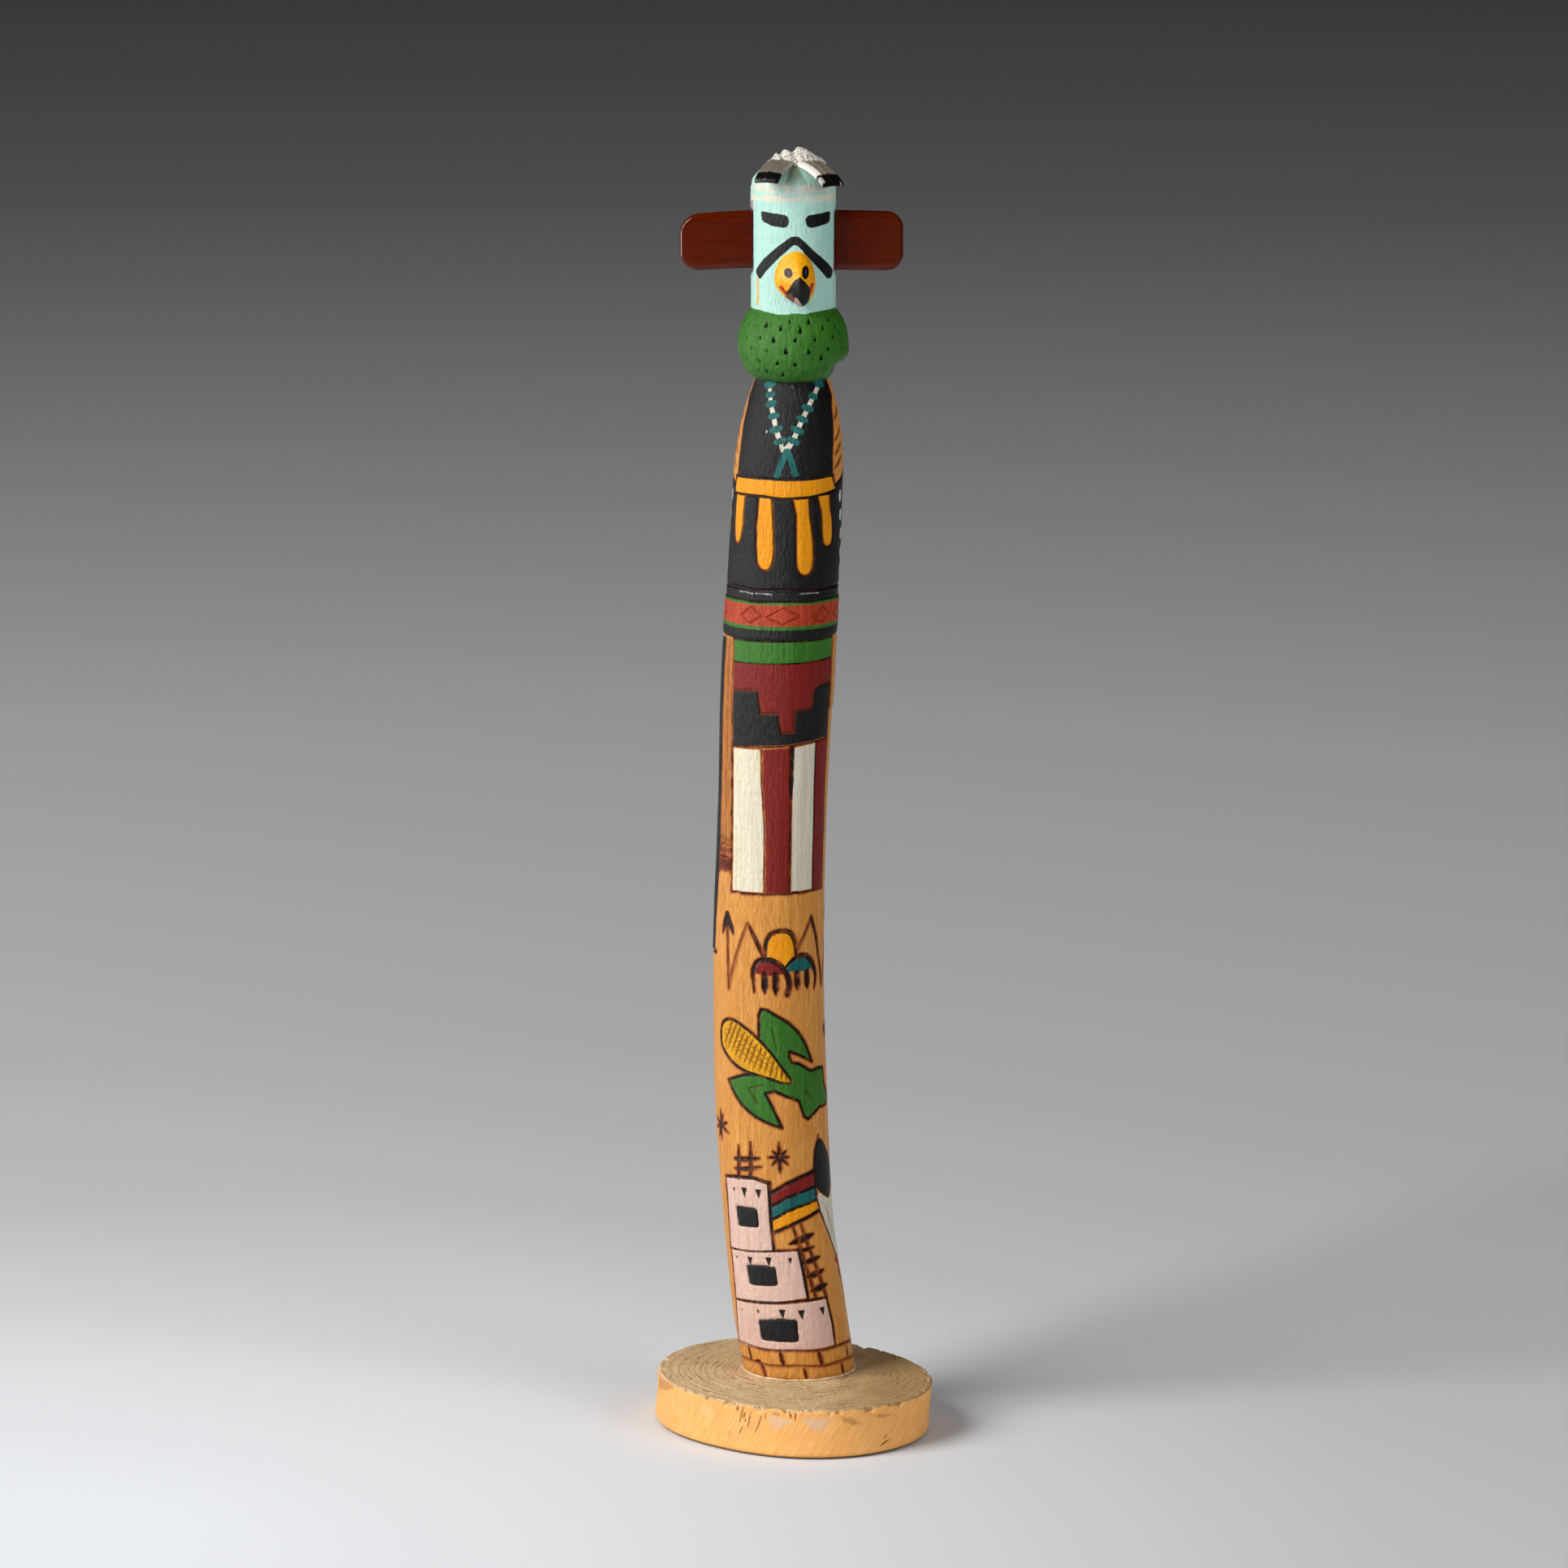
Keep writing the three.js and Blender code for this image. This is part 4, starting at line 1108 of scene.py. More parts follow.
def surface_mesh():
    """Lattice nodes in use, the faces over them, and a table of the nodes' numbers, -1 where unused."""
    around = LATTICE[0]
    used = np.zeros((around, LATTICE[1] + 1), bool)
    groups = surface_cells()
    for cells, size in groups:
        for dx, dy in ((0, 0), (size, 0), (0, size), (size, size)):
            used[(cells[:, 0] + dx) % around, cells[:, 1] + dy] = True
    fans, quads = [], []
    for cells, size in groups:
        steps = range(1, size)
        for column, row in cells.tolist():
            right, top = (column + size) % around, row + size
            sides = (
                (((column + k) % around, row) for k in steps),
                ((right, row + k) for k in steps),
                (((column + k) % around, top) for k in reversed(steps)),
                ((column, row + k) for k in reversed(steps)),
            )
            corners = ((column, row), (right, row), (right, top), (column, top))
            boundary = []
            for corner, side in zip(corners, sides):
                boundary += [corner] + [node for node in side if used[node]]
            if len(boundary) > 4:
                fans.append((boundary, (column + size // 2, row + size // 2)))
            else:
                quads.append(boundary)
    for _, centre in fans:
        used[centre] = True
    number = np.full(used.shape, -1)
    number[used] = np.arange(used.sum())
    faces = [tuple(int(number[node]) for node in quad) for quad in quads]
    for boundary, centre in fans:
        faces += fill_fan([int(number[node]) for node in boundary], int(number[centre]))
    return np.argwhere(used), faces, number


def relief(angle, z):
    """The dress's raised layers: belt, sash knot and the mantle down the back."""
    degrees = np.degrees(angle)
    belt = 0.35 * within(z, BELT_BOTTOM, BELT_TOP, 0.5)
    sash = 0.3 * within(degrees, 66, 112, 6) * within(z, 226, BELT_BOTTOM - 0.4, 1.0)
    mantle = 0.25 * within(degrees % 360, 116, 284, 4) * within(z, 149.5, BELT_BOTTOM - 0.4, 1.0)
    notch = 1.7 * within(degrees, 42, 130, 24) * np.exp(-((z - 331.2) / 2.3) ** 2)
    swell = 0.5 * within(degrees, 48, 120, 20) * np.exp(-((z - 335.6) / 2.2) ** 2)
    return np.maximum(belt, np.maximum(sash, mantle)) - notch + swell


def figure():
    nodes, faces, number = surface_mesh()
    spots = unrolled(nodes)
    angle, walk = lattice_angle(nodes[:, 0]), lattice_walk(nodes[:, 1])
    inside, groove, burn = measure_cuts(spots, cuts)
    pit, sink = measure_pits(spots)
    around, height = spots.T
    hand = 0.09 * waves(np.sin(angle) * 3.1 + height * 0.05, np.cos(angle) * 3.1 + height * 0.11, 1.3)
    fibre = 0.03 * waves(around * 2.9, height * 0.16, 4.2)
    lift = relief(angle, height) + hand + fibre - groove - sink
    points = root_point(angle, walk, lift)
    fields = {colour: measure_area(spots, outlines) for colour, outlines in areas.items()}
    unpainted = np.where(height > BELT_TOP, -measure_area(spots, wings), FAR)
    fields["black"] = np.minimum(fields["black"], unpainted)
    fields.update(line=inside, burn=burn, pit=pit, around=around, height=height)
    foot = [int(k) for k in number[:, 0][::-1] if k >= 0]
    crown = [int(k) for k in number[:, -1] if k >= 0]
    for rim, drop in ((foot, -0.3), (crown, 0.0)):
        middle = points[rim].mean(axis=0)
        points = np.concatenate([points, [middle + (0, 0, drop)]])
        fields = {key: np.append(values, values[rim[0]]) for key, values in fields.items()}
        faces += fill_fan(rim, len(points) - 1)
    uv = root_uv(faces, np.append(angle, [0, 0]), np.append(walk, [0, Profile.length]))
    make_piece("painted_root", points, faces, painted_wood(), ["figure"], fields, uv=uv)


def root_uv(faces, angle, walk):
    """The surface unrolled in two bands side by side, the root's lower half and its upper half."""
    half = Profile.length / 2
    uv = []
    for face in faces:
        turns = [angle[k] / TAU + 0.5 for k in face]
        wraps = max(turns) - min(turns) > 0.5
        upper = min(walk[k] for k in face) >= half - 1e-6
        for k, turn in zip(face, turns):
            unwrapped = turn + 1 if wraps and turn < 0.5 else turn
            uv.append((0.49 * min(unwrapped, 1) + (0.5 if upper else 0.005),
                       0.005 + 0.99 * (walk[k] - (half if upper else 0)) / half))
    return uv


def linear(red, green, blue):
    """A display colour (0-255) as the light it stands for."""
    return tuple(((c / 255 + 0.055) / 1.055) ** 2.4 for c in (red, green, blue))


def painted_wood():
    """Warm grained root under a burn's brown halo, then the coats of paint, then the char in the lines."""
    shader = Shader("painted cottonwood root")
    fibre = shader.noise((3.4, 3.4, 0.22), detail=5, rough=0.65)
    streak = shader.noise((0.9, 0.9, 0.05), detail=3, rough=0.6)
    speck = shader.noise((3.2, 3.2, 1.5), detail=5, rough=0.75)
    cloud = shader.noise((0.09, 0.09, 0.05), detail=2)
    wobble = shader.math("SUBTRACT", shader.noise((1.6, 1.6, 0.9), detail=2), 0.5)
    grain = shader.math("ADD", shader.times(fibre, 0.62), shader.times(streak, 0.38))
    wood = shader.tones(grain, 0.34, 0.66, (194, 124, 46), (236, 168, 84))
    colour = shader.lay(wood, shader.step(cloud, 0.4, 0.75, 0, 0.5), (212, 138, 60))
    line, burn = shader.read("line"), shader.read("burn")
    uneven = shader.times(burn, shader.step(shader.noise((0.5, 0.5, 0.35)), 0.3, 0.55, 0.72, 1.08))
    halo = shader.times(shader.step(line, -0.75, 0.05, 0, 0.95), uneven)
    colour = shader.lay(colour, halo, (138, 48, 8))
    cover = shader.math("ADD", shader.times(speck, 0.6), shader.times(streak, 0.4))
    for name, (thin, full) in COATS.items():
        edge = shader.math("MULTIPLY_ADD", wobble, 0.5, shader.read(name))
        covered = shader.step(edge, -0.1, 0.12)
        colour = shader.mix(covered, colour, shader.tones(cover, 0.36, 0.6, thin, full))
    colour = smears(shader, colour)
    ragged = shader.math("MULTIPLY_ADD", wobble, 0.35, line)
    char = shader.times(shader.step(ragged, -0.14, 0.2), uneven)
    scorch = shader.tones(uneven, 0.55, 0.95, (132, 50, 16), (16, 10, 8))
    scorch = shader.lay(scorch, shader.step(fibre, 0.4, 0.7, 0, 0.5), (76, 44, 30))
    colour = shader.mix(char, colour, scorch)
    # every pit laid near-black: black paint in the beam ends, and painted shade in the ruff's gouge marks
    colour = shader.lay(colour, shader.step(shader.read("pit"), 0.02, 0.2, 0, 0.95), (12, 13, 8))
    ripple = shader.noise((1.05, 1.05, 0.42), detail=5, rough=0.62)
    normal = shader.bump(fibre, 0.1)
    normal = shader.bump(ripple, 0.7, normal)
    normal = shader.bump(speck, 0.18, normal)
    normal = shader.bump(shader.step(line, -0.1, 0.35, 1, 0), 0.2, normal)
    shader.set(Base_Color=colour, Roughness=0.36, Specular_IOR_Level=0.22, Normal=normal)
    return shader.material


def smears(shader, colour):
    """Painted shade, with some dirt, between and under the crest feathers, and cream brush marks dragged
    sideways over the brow's mint.
    """
    height = shader.read("height")
    drag = shader.noise((0.3, 0.3, 0.85), detail=5, rough=0.7)
    shade_area = shader.step(shader.read("crest_shade_and_dirt"), -0.9, 1.4)
    crest_shade_and_dirt = shader.times(shade_area, shader.step(height, 386.6, 391.4, 0, 0.8))
    # olive painted shade, with some dirt, under the crest feathers, fading downwards
    colour = shader.lay(colour, crest_shade_and_dirt, (96, 98, 58))
    for low, high, strength in ((382.5, 385.3, 0.9), (385.3, 388.7, 0.8)):
        band = shader.times(shader.step(height, low, low + 0.8), shader.step(height, high, high - 0.8))
        share = shader.times(band, shader.step(drag, 0.4, 0.56, 0, strength))
        colour = shader.lay(colour, share, (236, 220, 200))
    return colour


# ---------------------------------------------------------------- the slice of branch


DISK_CRACKS = [  # (path of (around, height), width, depth, burn, start, end)
    ([(-17.6, 14.9), (-18.3, 12.8), (-18.5, 11.3), (-19.2, 9.1)], 0.5, 0.5, 0.9, 0.7, 0.4),
    ([(-17.2, 13.0), (-17.5, 11.1)], 0.65, 0.6, 0.9, 0.6, 0.4),
    ([(-16.6, 11.4), (-16.8, 10.2)], 0.5, 0.5, 0.9, 0.6, 0.4),
    ([(-17.6, 8.5), (-18.8, 5.9)], 0.5, 0.4, 0.8, 0.7, 0.3),
    ([(-14.7, 13.6), (-15.2, 11.6), (-15.3, 9.8), (-15.8, 8.2)], 0.5, 0.5, 0.9, 0.5, 0.3),
    ([(-10.8, 13.1), (-11.4, 10.8), (-12.0, 8.9), (-12.8, 7.4)], 0.45, 0.5, 0.85, 0.6, 0.3),
    ([(-9.2, 14.2), (-9.6, 11.7)], 0.35, 0.3, 0.5, 0.5, 0.3),
    ([(-20.0, 14.6), (-20.2, 13.2)], 0.8, 0.5, 0.6, 0.8, 0.4),
    ([(-1.6, 15.0), (-0.9, 12.8)], 0.6, 0.5, 0.7, 0.6, 0.4),
    ([(0.4, 14.6), (0.3, 12.2)], 0.5, 0.4, 0.6, 0.6, 0.3),
    ([(30.2, 4.4), (26.8, 2.8)], 0.6, 0.4, 0.5, 0.4, 0.3),
    ([(29.4, 6.2), (28.0, 4.8)], 0.5, 0.4, 0.5, 0.4, 0.3),
    ([(96, 14.5), (94, 8), (95, 3)], 0.8, 0.7, 0.9, 0.8, 0.2),
    ([(-88, 15), (-87, 9)], 0.6, 0.5, 0.9, 0.8, 0.2),
]
DISK_MARKS = {
    "bare": [
        [(-8.8, 13.4), (-5, 13.3), (-2.2, 12.3), (-1, 13.4), (-0.6, 11.5), (-3.4, 10.2), (-5.2, 9.2),
         (-7.4, 10.2)],
        [(2.2, 12.9), (10.9, 13.6), (9.9, 9.9), (7, 8.7), (4.4, 10.6)],
    ],
    "smudge": [
        [(13.6, 13.7), (17.4, 13.2), (20.6, 10.9), (18.4, 10.4), (15.2, 11.6)],
        [(22.2, 13.6), (27.4, 13), (31.6, 12), (26.4, 11.8)],
        [(-67, 15.5), (-50, 15.5), (-55, 12.9), (-67, 10.5)],
        oval(-5.6, 14.2, 1.3, 0.6),
    ],
    "dot": [oval(-22.5, 5.5, 0.5, 1.0)],
    "knot": [oval(-33.0, 11.2, 3.4, 2.0, -20)],
}


def slice_profile():
    """The slice's outline as (radius, height), from under its middle, up its side and in over its top."""
    quarter = np.linspace(0, math.pi / 2, 6)[1:]
    lower, upper = DISK_ROUNDING
    between = DISK_HEIGHT - lower - upper
    profile = [(r, 0.0) for r in np.linspace(1, DISK_RADIUS - lower, 7)]
    profile += [(DISK_RADIUS - lower + lower * math.sin(a), lower - lower * math.cos(a)) for a in quarter]
    profile += [(DISK_RADIUS - DISK_WAIST * math.sin(math.pi * u), lower + u * between)
                for u in np.linspace(0, 1, 33)[1:]]
    profile += [(DISK_RADIUS - upper + upper * math.cos(a), DISK_HEIGHT - upper + upper * math.sin(a))
                for a in quarter]
    profile += [(r, DISK_HEIGHT) for r in np.linspace(DISK_RADIUS - upper, 14, 60)[1:]]
    return profile + [(6, DISK_HEIGHT)]


def slice_ring(radius, z, angle):
    """One ring of the slice, torn and sawn, and how far each point counts as pared side, not sawn top."""
    half = DISK_HEIGHT / 2
    around = angle * DISK_RADIUS
    flank = smooth_step(radius, DISK_RADIUS - 1.6, DISK_RADIUS - 0.6)
    on_top = smooth_step(z, DISK_HEIGHT - 0.8, DISK_HEIGHT - 0.1) * (1 - flank)
    uneven = 1 + DISK_OVAL * np.cos(2 * (angle - DISK_LONG_WAY)) + 0.003 * np.cos(5 * angle)
    lean = DISK_ASIDE + DISK_LEAN * ((z - half) / half) * (radius / DISK_RADIUS)
    slant = around - 0.55 * z
    scored = 0.05 * waves(slant * 2.3, z * 0.3, 2.1) + 0.03 * waves(slant * 5.1, z * 0.5, 5.3)
    gnawed = waves(angle * 26, z * 0.5, 6.4) + 0.6 * waves(angle * 61, z * 0.9, 3.7)
    chips = smooth_step(gnawed, 0.1, 0.9) * smooth_step(z, 13.2, 15.4)
    cracks = measure_cuts(np.stack([around, np.full(len(angle), z)], axis=1), DISK_CRACKS)[1]
    reach = radius * uneven - np.maximum(flank * (0.12 + scored + 0.95 * chips + cracks), 0)
    worn = 0.35 + 0.65 * smooth_step(-np.sin(angle + 0.3), -0.2, 0.8)
    ridges = 0.28 * waves(angle * 3 + radius * 0.2, radius * 2.3, 3.3) * worn
    grit = 0.11 * waves(reach * np.sin(angle) * 2.1, reach * np.cos(angle) * 2.1, 7.7)
    rim = DISK_RADIUS - 2.4
    torn = 0.8 * chips * smooth_step(radius, rim, DISK_RADIUS - 1) * smooth_step(z, 14, 15.5)
    sunk = np.maximum(on_top * (0.3 + ridges + grit) + torn, 0)
    ring = np.stack([reach * np.sin(angle) + lean, -reach * np.cos(angle), z - sunk], axis=1)
    frayed = z + 0.35 * gnawed * smooth_step(radius, rim, DISK_RADIUS - 0.8)
    return ring, 1 - smooth_step(frayed, DISK_HEIGHT - 1.1, DISK_HEIGHT - 0.35)


def base_disk():
    angle = np.linspace(-math.pi, math.pi, DISK_STEPS, endpoint=False)
    profile = slice_profile()
    rings, sides = zip(*(slice_ring(radius, z, angle) for radius, z in profile))
    points, faces = loft(rings)
    heights = np.repeat([z for _, z in profile], DISK_STEPS)
    fields = {"side": np.append(np.concatenate(sides), [1, 0]),
              "height": np.append(heights, [0, DISK_HEIGHT]),
              "around": np.append(np.tile(angle * DISK_RADIUS, len(profile)), [0, 0])}
    spots = np.stack([fields["around"], fields["height"]], axis=1)
    for key, outlines in DISK_MARKS.items():
        fields[key] = measure_area(spots, outlines)
    fields["crack"] = measure_cuts(spots, DISK_CRACKS)[0]
    make_piece("branch_slice", points, faces, branch_wood(), ["base_disk"], fields)


def branch_wood():
    """Fresh yellow wood on the pared side, weathered grey-brown end grain on top."""
    shader = Shader("branch slice")
    speck = shader.noise((2.2, 2.2, 2.2), detail=4, rough=0.7)
    cloud = shader.noise((0.12, 0.12, 0.12), detail=3)
    slant = shader.math("MULTIPLY_ADD", shader.read("height"), -0.55, shader.read("around"))
    laid = shader.node("ShaderNodeCombineXYZ", {
        "X": shader.times(slant, 1.9), "Y": shader.times(shader.read("height"), 0.16)})
    scratch = shader.node("ShaderNodeTexNoise", {
        "Vector": laid.outputs[0], "Scale": 1.0, "Detail": 4.0, "Roughness": 0.6}).outputs["Fac"]
    scored = shader.step(scratch, 0.3, 0.7, 0.15, 0.95)
    side = shader.mix(scored, linear(226, 156, 82), linear(250, 190, 116))
    side = shader.lay(side, shader.step(cloud, 0.46, 0.7, 0, 0.4), (240, 160, 92))
    wobble = shader.math("SUBTRACT", shader.noise((0.9, 0.9, 0.9), detail=4, rough=0.7), 0.5)
    for key, tone, cover in (("knot", (250, 204, 150), 0.35), ("smudge", (176, 122, 76), 0.7),
                             ("bare", (214, 184, 156), 0.66), ("dot", (236, 126, 96), 0.8)):
        edge = shader.math("MULTIPLY_ADD", wobble, 3.0, shader.read(key))
        side = shader.lay(side, shader.step(edge, -0.5, 0.6, 0, cover), tone)
    side = shader.lay(side, shader.step(shader.read("crack"), -0.15, 0.15, 0, 0.75), (96, 56, 24))
    # painted contact shadow: the side darkens near the floor
    side = shader.lay(side, shader.step(shader.read("height"), 1.3, 0.5, 0, 0.85), (74, 60, 36))
    colour = shader.mix(shader.step(shader.read("side"), 0.3, 0.7), sawn_top(shader, speck, cloud), side)
    normal = shader.bump(speck, 0.12)
    normal = shader.bump(shader.times(scratch, shader.read("side")), 0.12, normal)
    shader.set(Base_Color=colour, Roughness=0.75, Specular_IOR_Level=0.2, Normal=normal)
    return shader.material


def sawn_top(shader, speck, cloud):
    """End grain: specks, faint year rings about the heart, and painted shadow of the figure darkening it
    towards the right.
    """
    far = shader.distance(shader.place((1, 1, 0)), DISK_HEART)
    wavy = shader.math("MULTIPLY_ADD", shader.noise((0.07, 0.07, 0.07)), 12.0, far)
    ring_lines = shader.math("SINE", shader.times(wavy, 2.4))
    faint = shader.step(shader.noise((0.11, 0.11, 0.11), detail=4), 0.42, 0.62, 0, 0.65)
    top = shader.tones(speck, 0.3, 0.7, (172, 138, 94), (226, 198, 156))
    across = shader.node("ShaderNodeSeparateXYZ", {"Vector": shader.place()}).outputs["X"]
    # painted shadow of the figure over the top's right half
    shadow_across = shader.math("MULTIPLY_ADD", cloud, 30.0, across)
    top = shader.lay(top, shader.step(shadow_across, 16, 44, 0, 0.75), (150, 118, 72))
    return shader.lay(top, shader.times(shader.step(ring_lines, 0.3, 1.0), faint), (126, 92, 54))


def glue_bead():
    """The pale line of glue squeezed out where the root's foot meets the slice."""
    count, around = 220, 10
    points = []
    for k in range(count):
        angle = TAU * k / count
        foot = root_point(np.array([angle]), np.array([0.2]))[0]
        out = Vector((math.sin(angle), -math.cos(angle), 0))
        thick = 0.42 + 0.22 * float(waves(np.array(angle * 9), np.array(1.0), 2.0))
        for j in range(around):
            turn = TAU * j / around
            push = 0.1 + thick * math.cos(turn)
            height = DISK_HEIGHT + thick * 0.8 * math.sin(turn)
            points.append((foot[0] + out.x * push, foot[1] + out.y * push, height))
    faces = []
    for k in range(count):
        here, there = k * around, (k + 1) % count * around
        for j in range(around):
            beside = (j + 1) % around
            faces.append((here + j, there + j, there + beside, here + beside))
    shader = Shader("dried glue")
    tone = shader.mix(shader.noise((1.2, 1.2, 1.2)), linear(186, 150, 108), linear(232, 212, 184))
    shader.set(Base_Color=tone, Roughness=0.35)
    make_piece("glue_bead", points, faces, shader.material)


# ---------------------------------------------------------------- ears, snout, crest


def rounded_section(half_deep, half_tall, corner, per_corner=6, per_side=7):
    """A rounded rectangle (y, z) as a closed ring of evenly ordered points."""
    corner = min(corner, half_deep * 0.98, half_tall * 0.98)
    points = []
    for quadrant, (sign_y, sign_z) in enumerate(((1, -1), (1, 1), (-1, 1), (-1, -1))):
        middle = np.array([sign_y * (half_deep - corner), sign_z * (half_tall - corner)])
        for k in range(per_corner + 1):
            turn = math.pi / 2 * (quadrant - 1 + k / per_corner)
            points.append(middle + corner * np.array([math.cos(turn), math.sin(turn)]))
    return spread_ring(points, 4 * (per_corner + per_side))


def spread_ring(points, count):
    """The ring's points set again at equal steps along it."""
    closed = np.array(points + points[:1])
    run = np.concatenate([[0], np.cumsum(np.hypot(*np.diff(closed, axis=0).T))])
    at = np.linspace(0, run[-1], count, endpoint=False)
    return np.stack([np.interp(at, run, closed[:, 0]), np.interp(at, run, closed[:, 1])], axis=1)


def ear(side, face, end, droop, corner):
    """A flat tablet with rounded edges and outer corners; its outer end hangs lower by droop."""
    way = 1 if end > face else -1
    length = abs(end - face)
    rounding = np.sin(np.linspace(0, math.pi / 2, 26)[1:])
    rings = []
    for u in np.concatenate([np.linspace(0, length - corner, 16), length - corner * (1 - rounding)]):
        turn = max(0.0, (u - (length - corner)) / corner)
        round_off = corner * (1 - math.sqrt(max(0.0, 1 - turn * turn)))
        tip = max(0.0, (u - (length - EAR_EDGE)) / EAR_EDGE)
        inset = EAR_EDGE * (1 - math.sqrt(max(0.0, 1 - tip * tip)))
        share = u / length
        high = EAR_TOP + 0.4 - droop * share ** 1.3
        low = EAR_BOTTOM + 0.6 * droop - 0.7 * droop * share
        middle, tall = (high + low) / 2, (high - low) / 2
        section = rounded_section(EAR_THICKNESS / 2 - inset, max(0.3, tall - round_off), EAR_EDGE)
        ring = [(face + way * u, float(setback(FIGURE_TOP)) + y, middle + z) for y, z in section]
        rings.append(ring[::way])
    points, faces = loft(rings)
    make_piece("ear_tablet_" + side, points, faces, varnished_wood(), ["ear_" + side])


def varnished_wood():
    shader = Shader("red-brown varnish")
    fibre = shader.noise((0.16, 1.6, 1.6), detail=5, rough=0.6)
    colour = shader.mix(shader.step(fibre, 0.3, 0.7, 0.3, 0.7), linear(64, 13, 0), linear(92, 28, 1))
    shader.set(Base_Color=colour, Roughness=0.6, Specular_IOR_Level=0.0, Normal=shader.bump(fibre, 0.015))
    shader.set(Coat_Weight=1.0, Coat_Roughness=0.1, Coat_IOR=1.35)
    return shader.material


def snout():
    """The bird's head: a keeled egg turned a little to the viewer's right, with a hooked beak."""
    centre = np.array([-0.45, float(setback(360)) - HEAD_DEPTH * HEAD_RADIUS + 1.2, 360.6])
    rows, count = 100, 140
    rings = []
    for j in range(1, rows):
        tilt = math.pi * j / rows - math.pi / 2
        height, flat = math.sin(tilt), math.cos(tilt)
        low = max(0.0, -height)
        ring = []
        for k in range(count):
            angle = TAU * k / count
            x, y = flat * math.sin(angle), -flat * math.cos(angle)
            width = SNOUT_HALF_WIDTH * (1 - 0.14 * height - 0.1 * low ** 2 - 0.26 * low ** 5)
            nose = SNOUT_FORWARD * (1 - 0.28 * (height + 0.25) ** 2) * (1 - 0.34 * max(height, 0))
            keel = 1 - 0.24 * min(1.0, abs(x) * 1.5)
            forward = nose * keel if y < 0 else 1.5
            hook = 1.0 * math.exp(-((height + 0.45) / 0.3) ** 2 - (x / 0.3) ** 2) if y < 0 else 0
            turned = 1.5 * max(0.0, -y) ** 2 + 2.0 * low ** 2
            ring.append((centre[0] + x * width + turned, centre[1] + y * forward - hook * 0.5,
                         centre[2] + SNOUT_HALF_HEIGHT * height - 1.0 * low ** 5))
        rings.append(ring)
    points, faces = loft(rings)
    points = np.array(points)
    spots = np.stack([points[:, 0], points[:, 2]], axis=1)
    forehead = points[:, 1] < centre[1]
    fields = {}
    for key, outlines in SNOUT_PAINT.items():
        fields[key] = np.where(forehead, measure_area(spots, outlines), -FAR)
    make_piece("bird_head", points, faces, snout_paint(), ["bird_snout"], fields)


SNOUT_PAINT = {
    "lid": [oval(-2.4, 362.1, 1.35, 1.45), oval(2.75, 362.4, 1.1, 1.95)],
    "eye": [oval(-2.25, 362.2, 0.42, 0.5), oval(2.85, 362.5, 0.3, 0.8)],
    "mouth": [stroke_area([(-4.9, 358), (-2.8, 355.4)], 1.1), stroke_area([(4.9, 359), (4, 355.6)], 1.0)],
    "beak": [[(1.1, 361.2), (2.5, 359.9), (3.9, 358), (4.3, 355.6), (3.6, 352.6), (2.6, 350), (-0.3, 350),
              (-2.3, 352.4), (-3.2, 354.3), (-3, 356), (-1.6, 358.4), (-0.6, 360.2)]],
    "worn": [[(-2.9, 355.4), (-1.4, 356.0), (-0.4, 353.6), (0.6, 350.4), (-1.8, 350.6), (-3.4, 353.8)]],
    "chip": [[(-0.4, 354.7), (0.5, 354.2), (1.6, 352.2), (1.6, 350.4), (-0.9, 351.8)]],
}


def snout_paint():
    shader = Shader("bird head paint")
    grain = shader.noise((2.0, 2.0, 0.5), detail=4)
    wobble = shader.math("SUBTRACT", shader.noise((2.2, 2.2, 2.2), detail=2), 0.5)
    colour = shader.tones(grain, 0.3, 0.7, (224, 138, 0), (250, 180, 8))
    for key, dark, light in (
        ("lid", (20, 12, 16), (34, 24, 30)), ("eye", (46, 42, 62), (66, 60, 84)),
        ("mouth", (150, 24, 14), (190, 60, 50)), ("beak", (14, 12, 12), (38, 35, 34)),
        ("worn", (84, 38, 32), (140, 84, 78)), ("chip", (170, 128, 120), (226, 190, 180)),
    ):
        edge = shader.math("MULTIPLY_ADD", wobble, 0.6, shader.read(key))
        coat = shader.mix(grain, linear(*dark), linear(*light))
        colour = shader.mix(shader.step(edge, -0.1, 0.12), colour, coat)
    shader.set(Base_Color=colour, Roughness=0.4, Specular_IOR_Level=0.18, Normal=shader.bump(grain, 0.12))
    return shader.material


FEATHERS = {
    "left": {"lean": -16.5, "root": (-3.9, 5.2), "drop": 3.8, "limit": (-99, 0.2)},
    "right": {"lean": 31.5, "root": (1.6, 5.2), "drop": 5.2, "limit": (0.5, 99)},
}
RIGHT_TIP_GLINTS = [(15.4, 18.0, -4.6, -2.6), (17.9, 19.2, 2.5, 3.4)]  # painted highlights on the black tip's corners: along from, to, across from, to
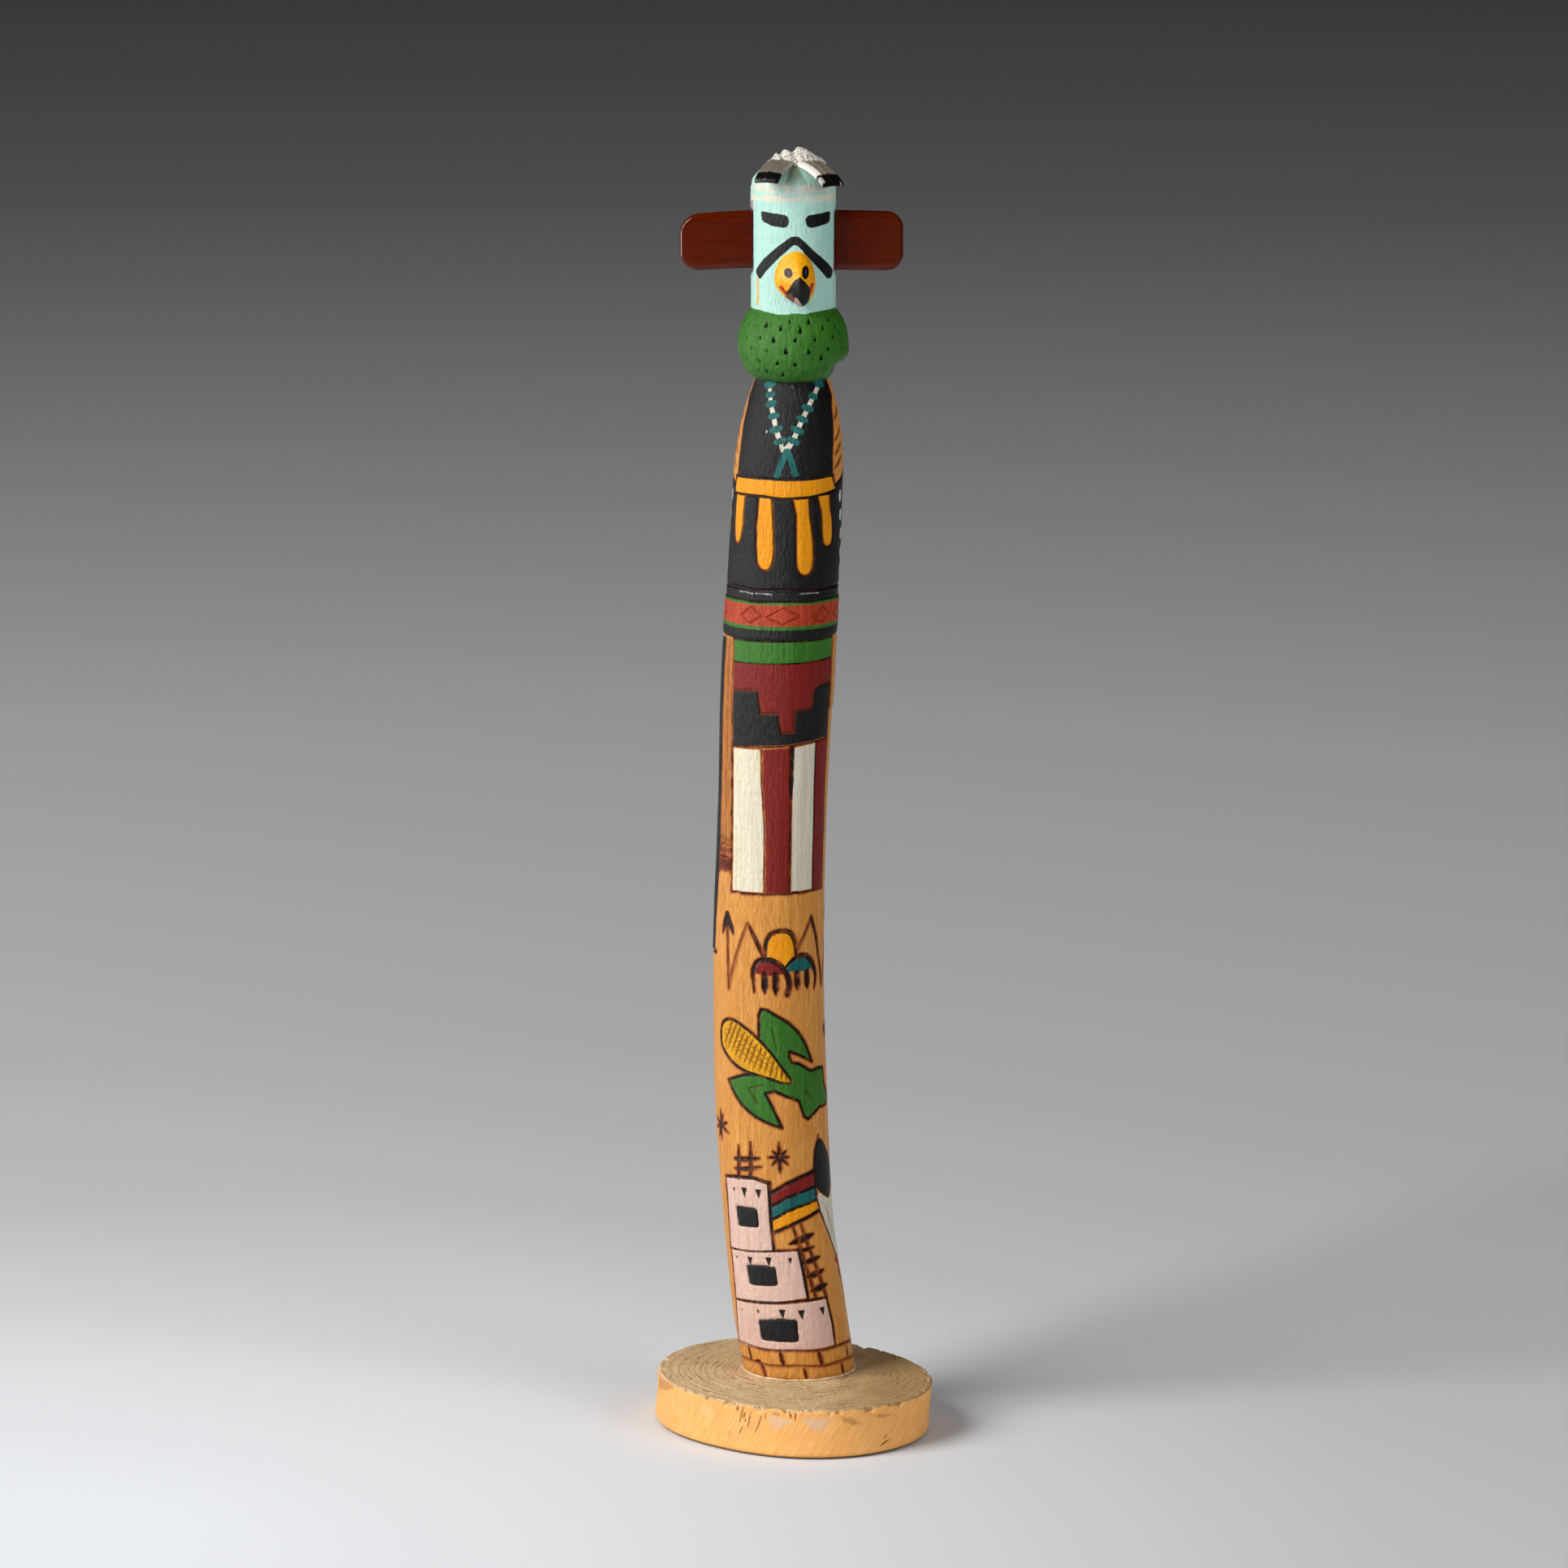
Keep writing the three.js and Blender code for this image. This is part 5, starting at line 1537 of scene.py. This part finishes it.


def feather(side, lean, root, drop, limit):
    """A flat feather with a quill and barbs that leans aside, droops forward and stays in the limit."""
    turn = math.radians(lean)
    rings, places = [], []
    half_wide, half_thick = FEATHER_WIDTH / 2, FEATHER_THICKNESS / 2
    for along in np.linspace(0, FEATHER_LENGTH, 64):
        share = along / FEATHER_LENGTH
        tip = max(0.0, (share - 0.97) / 0.03)
        blunt = math.sqrt(max(0.0, 1 - tip ** 2))
        wide, thick = half_wide * (0.86 + 0.14 * blunt), half_thick * (0.35 + 0.65 * blunt)
        section = rounded_section(wide, thick, 0.4, per_side=14)
        ring = []
        for across, up in section:
            barb = 0.05 * math.sin(6.2 * (along - 0.9 * abs(across)))
            quill = 0.22 * math.exp(-(across / 0.45) ** 2)
            aside = across * (1 - 0.1 * share)
            x = root[0] + along * math.sin(turn) + aside * math.cos(turn)
            y = root[1] - along * math.cos(turn) + aside * math.sin(turn)
            low = FIGURE_TOP + 0.3 + half_thick - drop * share ** 2.4
            lift = up + (barb + quill - 0.1 if up > 0 else 0) - 0.02 * across * across
            ring.append((min(limit[1], max(limit[0], x)), y, low + lift))
            places.append((across, along, up))
        rings.append(ring)
    points, faces = loft(rings)
    places += [(0, 0, 0), (0, FEATHER_LENGTH, 0)]
    make_piece("crest_feather_" + side, points, faces, feather_paint(side),
               ["feather_" + side], place=places)


def feather_paint(side):
    shader = Shader("painted feather " + side)
    barbs = shader.noise((0.9, 2.6, 0.9), detail=4, distortion=0.6)
    fine = shader.noise((2.0, 2.0, 2.0), detail=2)
    spread = shader.node("ShaderNodeSeparateXYZ", {"Vector": shader.place()})
    ragged = shader.math("MULTIPLY_ADD", fine, 1.2, -0.6)
    along = shader.math("ADD", ragged, spread.outputs["Y"])
    across = shader.math("MULTIPLY_ADD", ragged, 0.5, spread.outputs["X"])
    colour = shader.tones(barbs, 0.3, 0.7, (98, 88, 76), (140, 130, 118))
    pale = shader.step(across, -1.9, -2.4) if side == "right" else shader.step(across, 3.6, 4.0, 0, 0.25)
    colour = shader.lay(colour, pale, (236, 230, 216))
    colour = shader.lay(colour, shader.step(along, 14.3, 14.9), (13, 11, 10))
    for low, high, left, right in RIGHT_TIP_GLINTS if side == "right" else ():
        inside = shader.times(shader.step(along, low, low + 0.4), shader.step(along, high, high - 0.4))
        beside = shader.step(across, left, left + 0.4)
        beside = shader.times(beside, shader.step(across, right, right - 0.5))
        # pale grey painted highlights on the tip's corners
        colour = shader.lay(colour, shader.times(inside, beside), (176, 172, 172))
    shader.set(Base_Color=colour, Roughness=0.4, Specular_IOR_Level=0.35, Normal=shader.bump(barbs, 0.1))
    return shader.material


tuft_height = curve_through([
    (-9.2, 0.8), (-6.9, 2.2), (-5.9, 3.6), (-5.2, 2.5), (-3.5, 4.3), (-2.6, 4.2), (-1.5, 3.4), (-0.4, 3.7),
    (0.6, 4.9), (2.4, 4.7), (4.4, 3.6), (6.4, 2.6), (7.6, 2.5), (8.8, 1.2),
])


def tuft():
    """A torn pad of white down: a low lump with peaks, curls and a ragged edge."""
    bpy.ops.mesh.primitive_ico_sphere_add(subdivisions=6, radius=1)
    lump = bpy.context.object
    points = []
    for vertex in lump.data.vertices:
        x, y, z = vertex.co
        spot = Vector((8.4 * x, 5.9 * y, 3.0 * z))
        curl = noise.fractal(spot * 0.6, 1.0, 2.0, 4)
        wisp = abs(noise.noise(spot * 2.1 + Vector((5, 0, 9))))
        swell = 0.95 + 0.07 * curl + 0.09 * wisp
        across = TUFT_MIDDLE[0] + TUFT_HALF_WIDTH * x * swell
        tall = float(tuft_height(across + 1.2 * y)) if z > 0 else 2.2
        rise = math.copysign(abs(z) ** 0.7, z) * tall * (1 - 0.3 * y * y)
        rough = 0.5 * noise.noise(spot * 1.1) + 0.35 * noise.noise(spot * 2.9) if z > -0.2 else 0
        height = min(TUFT_MIDDLE[2] + rise + rough, TUFT_TOP)
        points.append((across, TUFT_MIDDLE[1] + TUFT_HALF_DEPTH * y * swell, height))
    faces = [tuple(polygon.vertices) for polygon in lump.data.polygons]
    bpy.data.objects.remove(lump)
    shader = Shader("down tuft")
    curls = shader.noise((0.8, 0.8, 1.1), detail=6, rough=0.75, distortion=1.2)
    colour = shader.tones(curls, 0.36, 0.56, (132, 122, 108), (242, 238, 228))
    shader.set(Base_Color=colour, Roughness=0.9, Specular_IOR_Level=0.2, Normal=shader.bump(curls, 0.5))
    make_piece("down_crest", points, faces, shader.material, ["down_tuft"])


# ---------------------------------------------------------------- the scene

make_camera()
make_studio()
base_disk()
glue_bead()
figure()
for side, shape in EARS.items():
    ear(side, *shape)
snout()
for side, shape in FEATHERS.items():
    feather(side, **shape)
tuft()
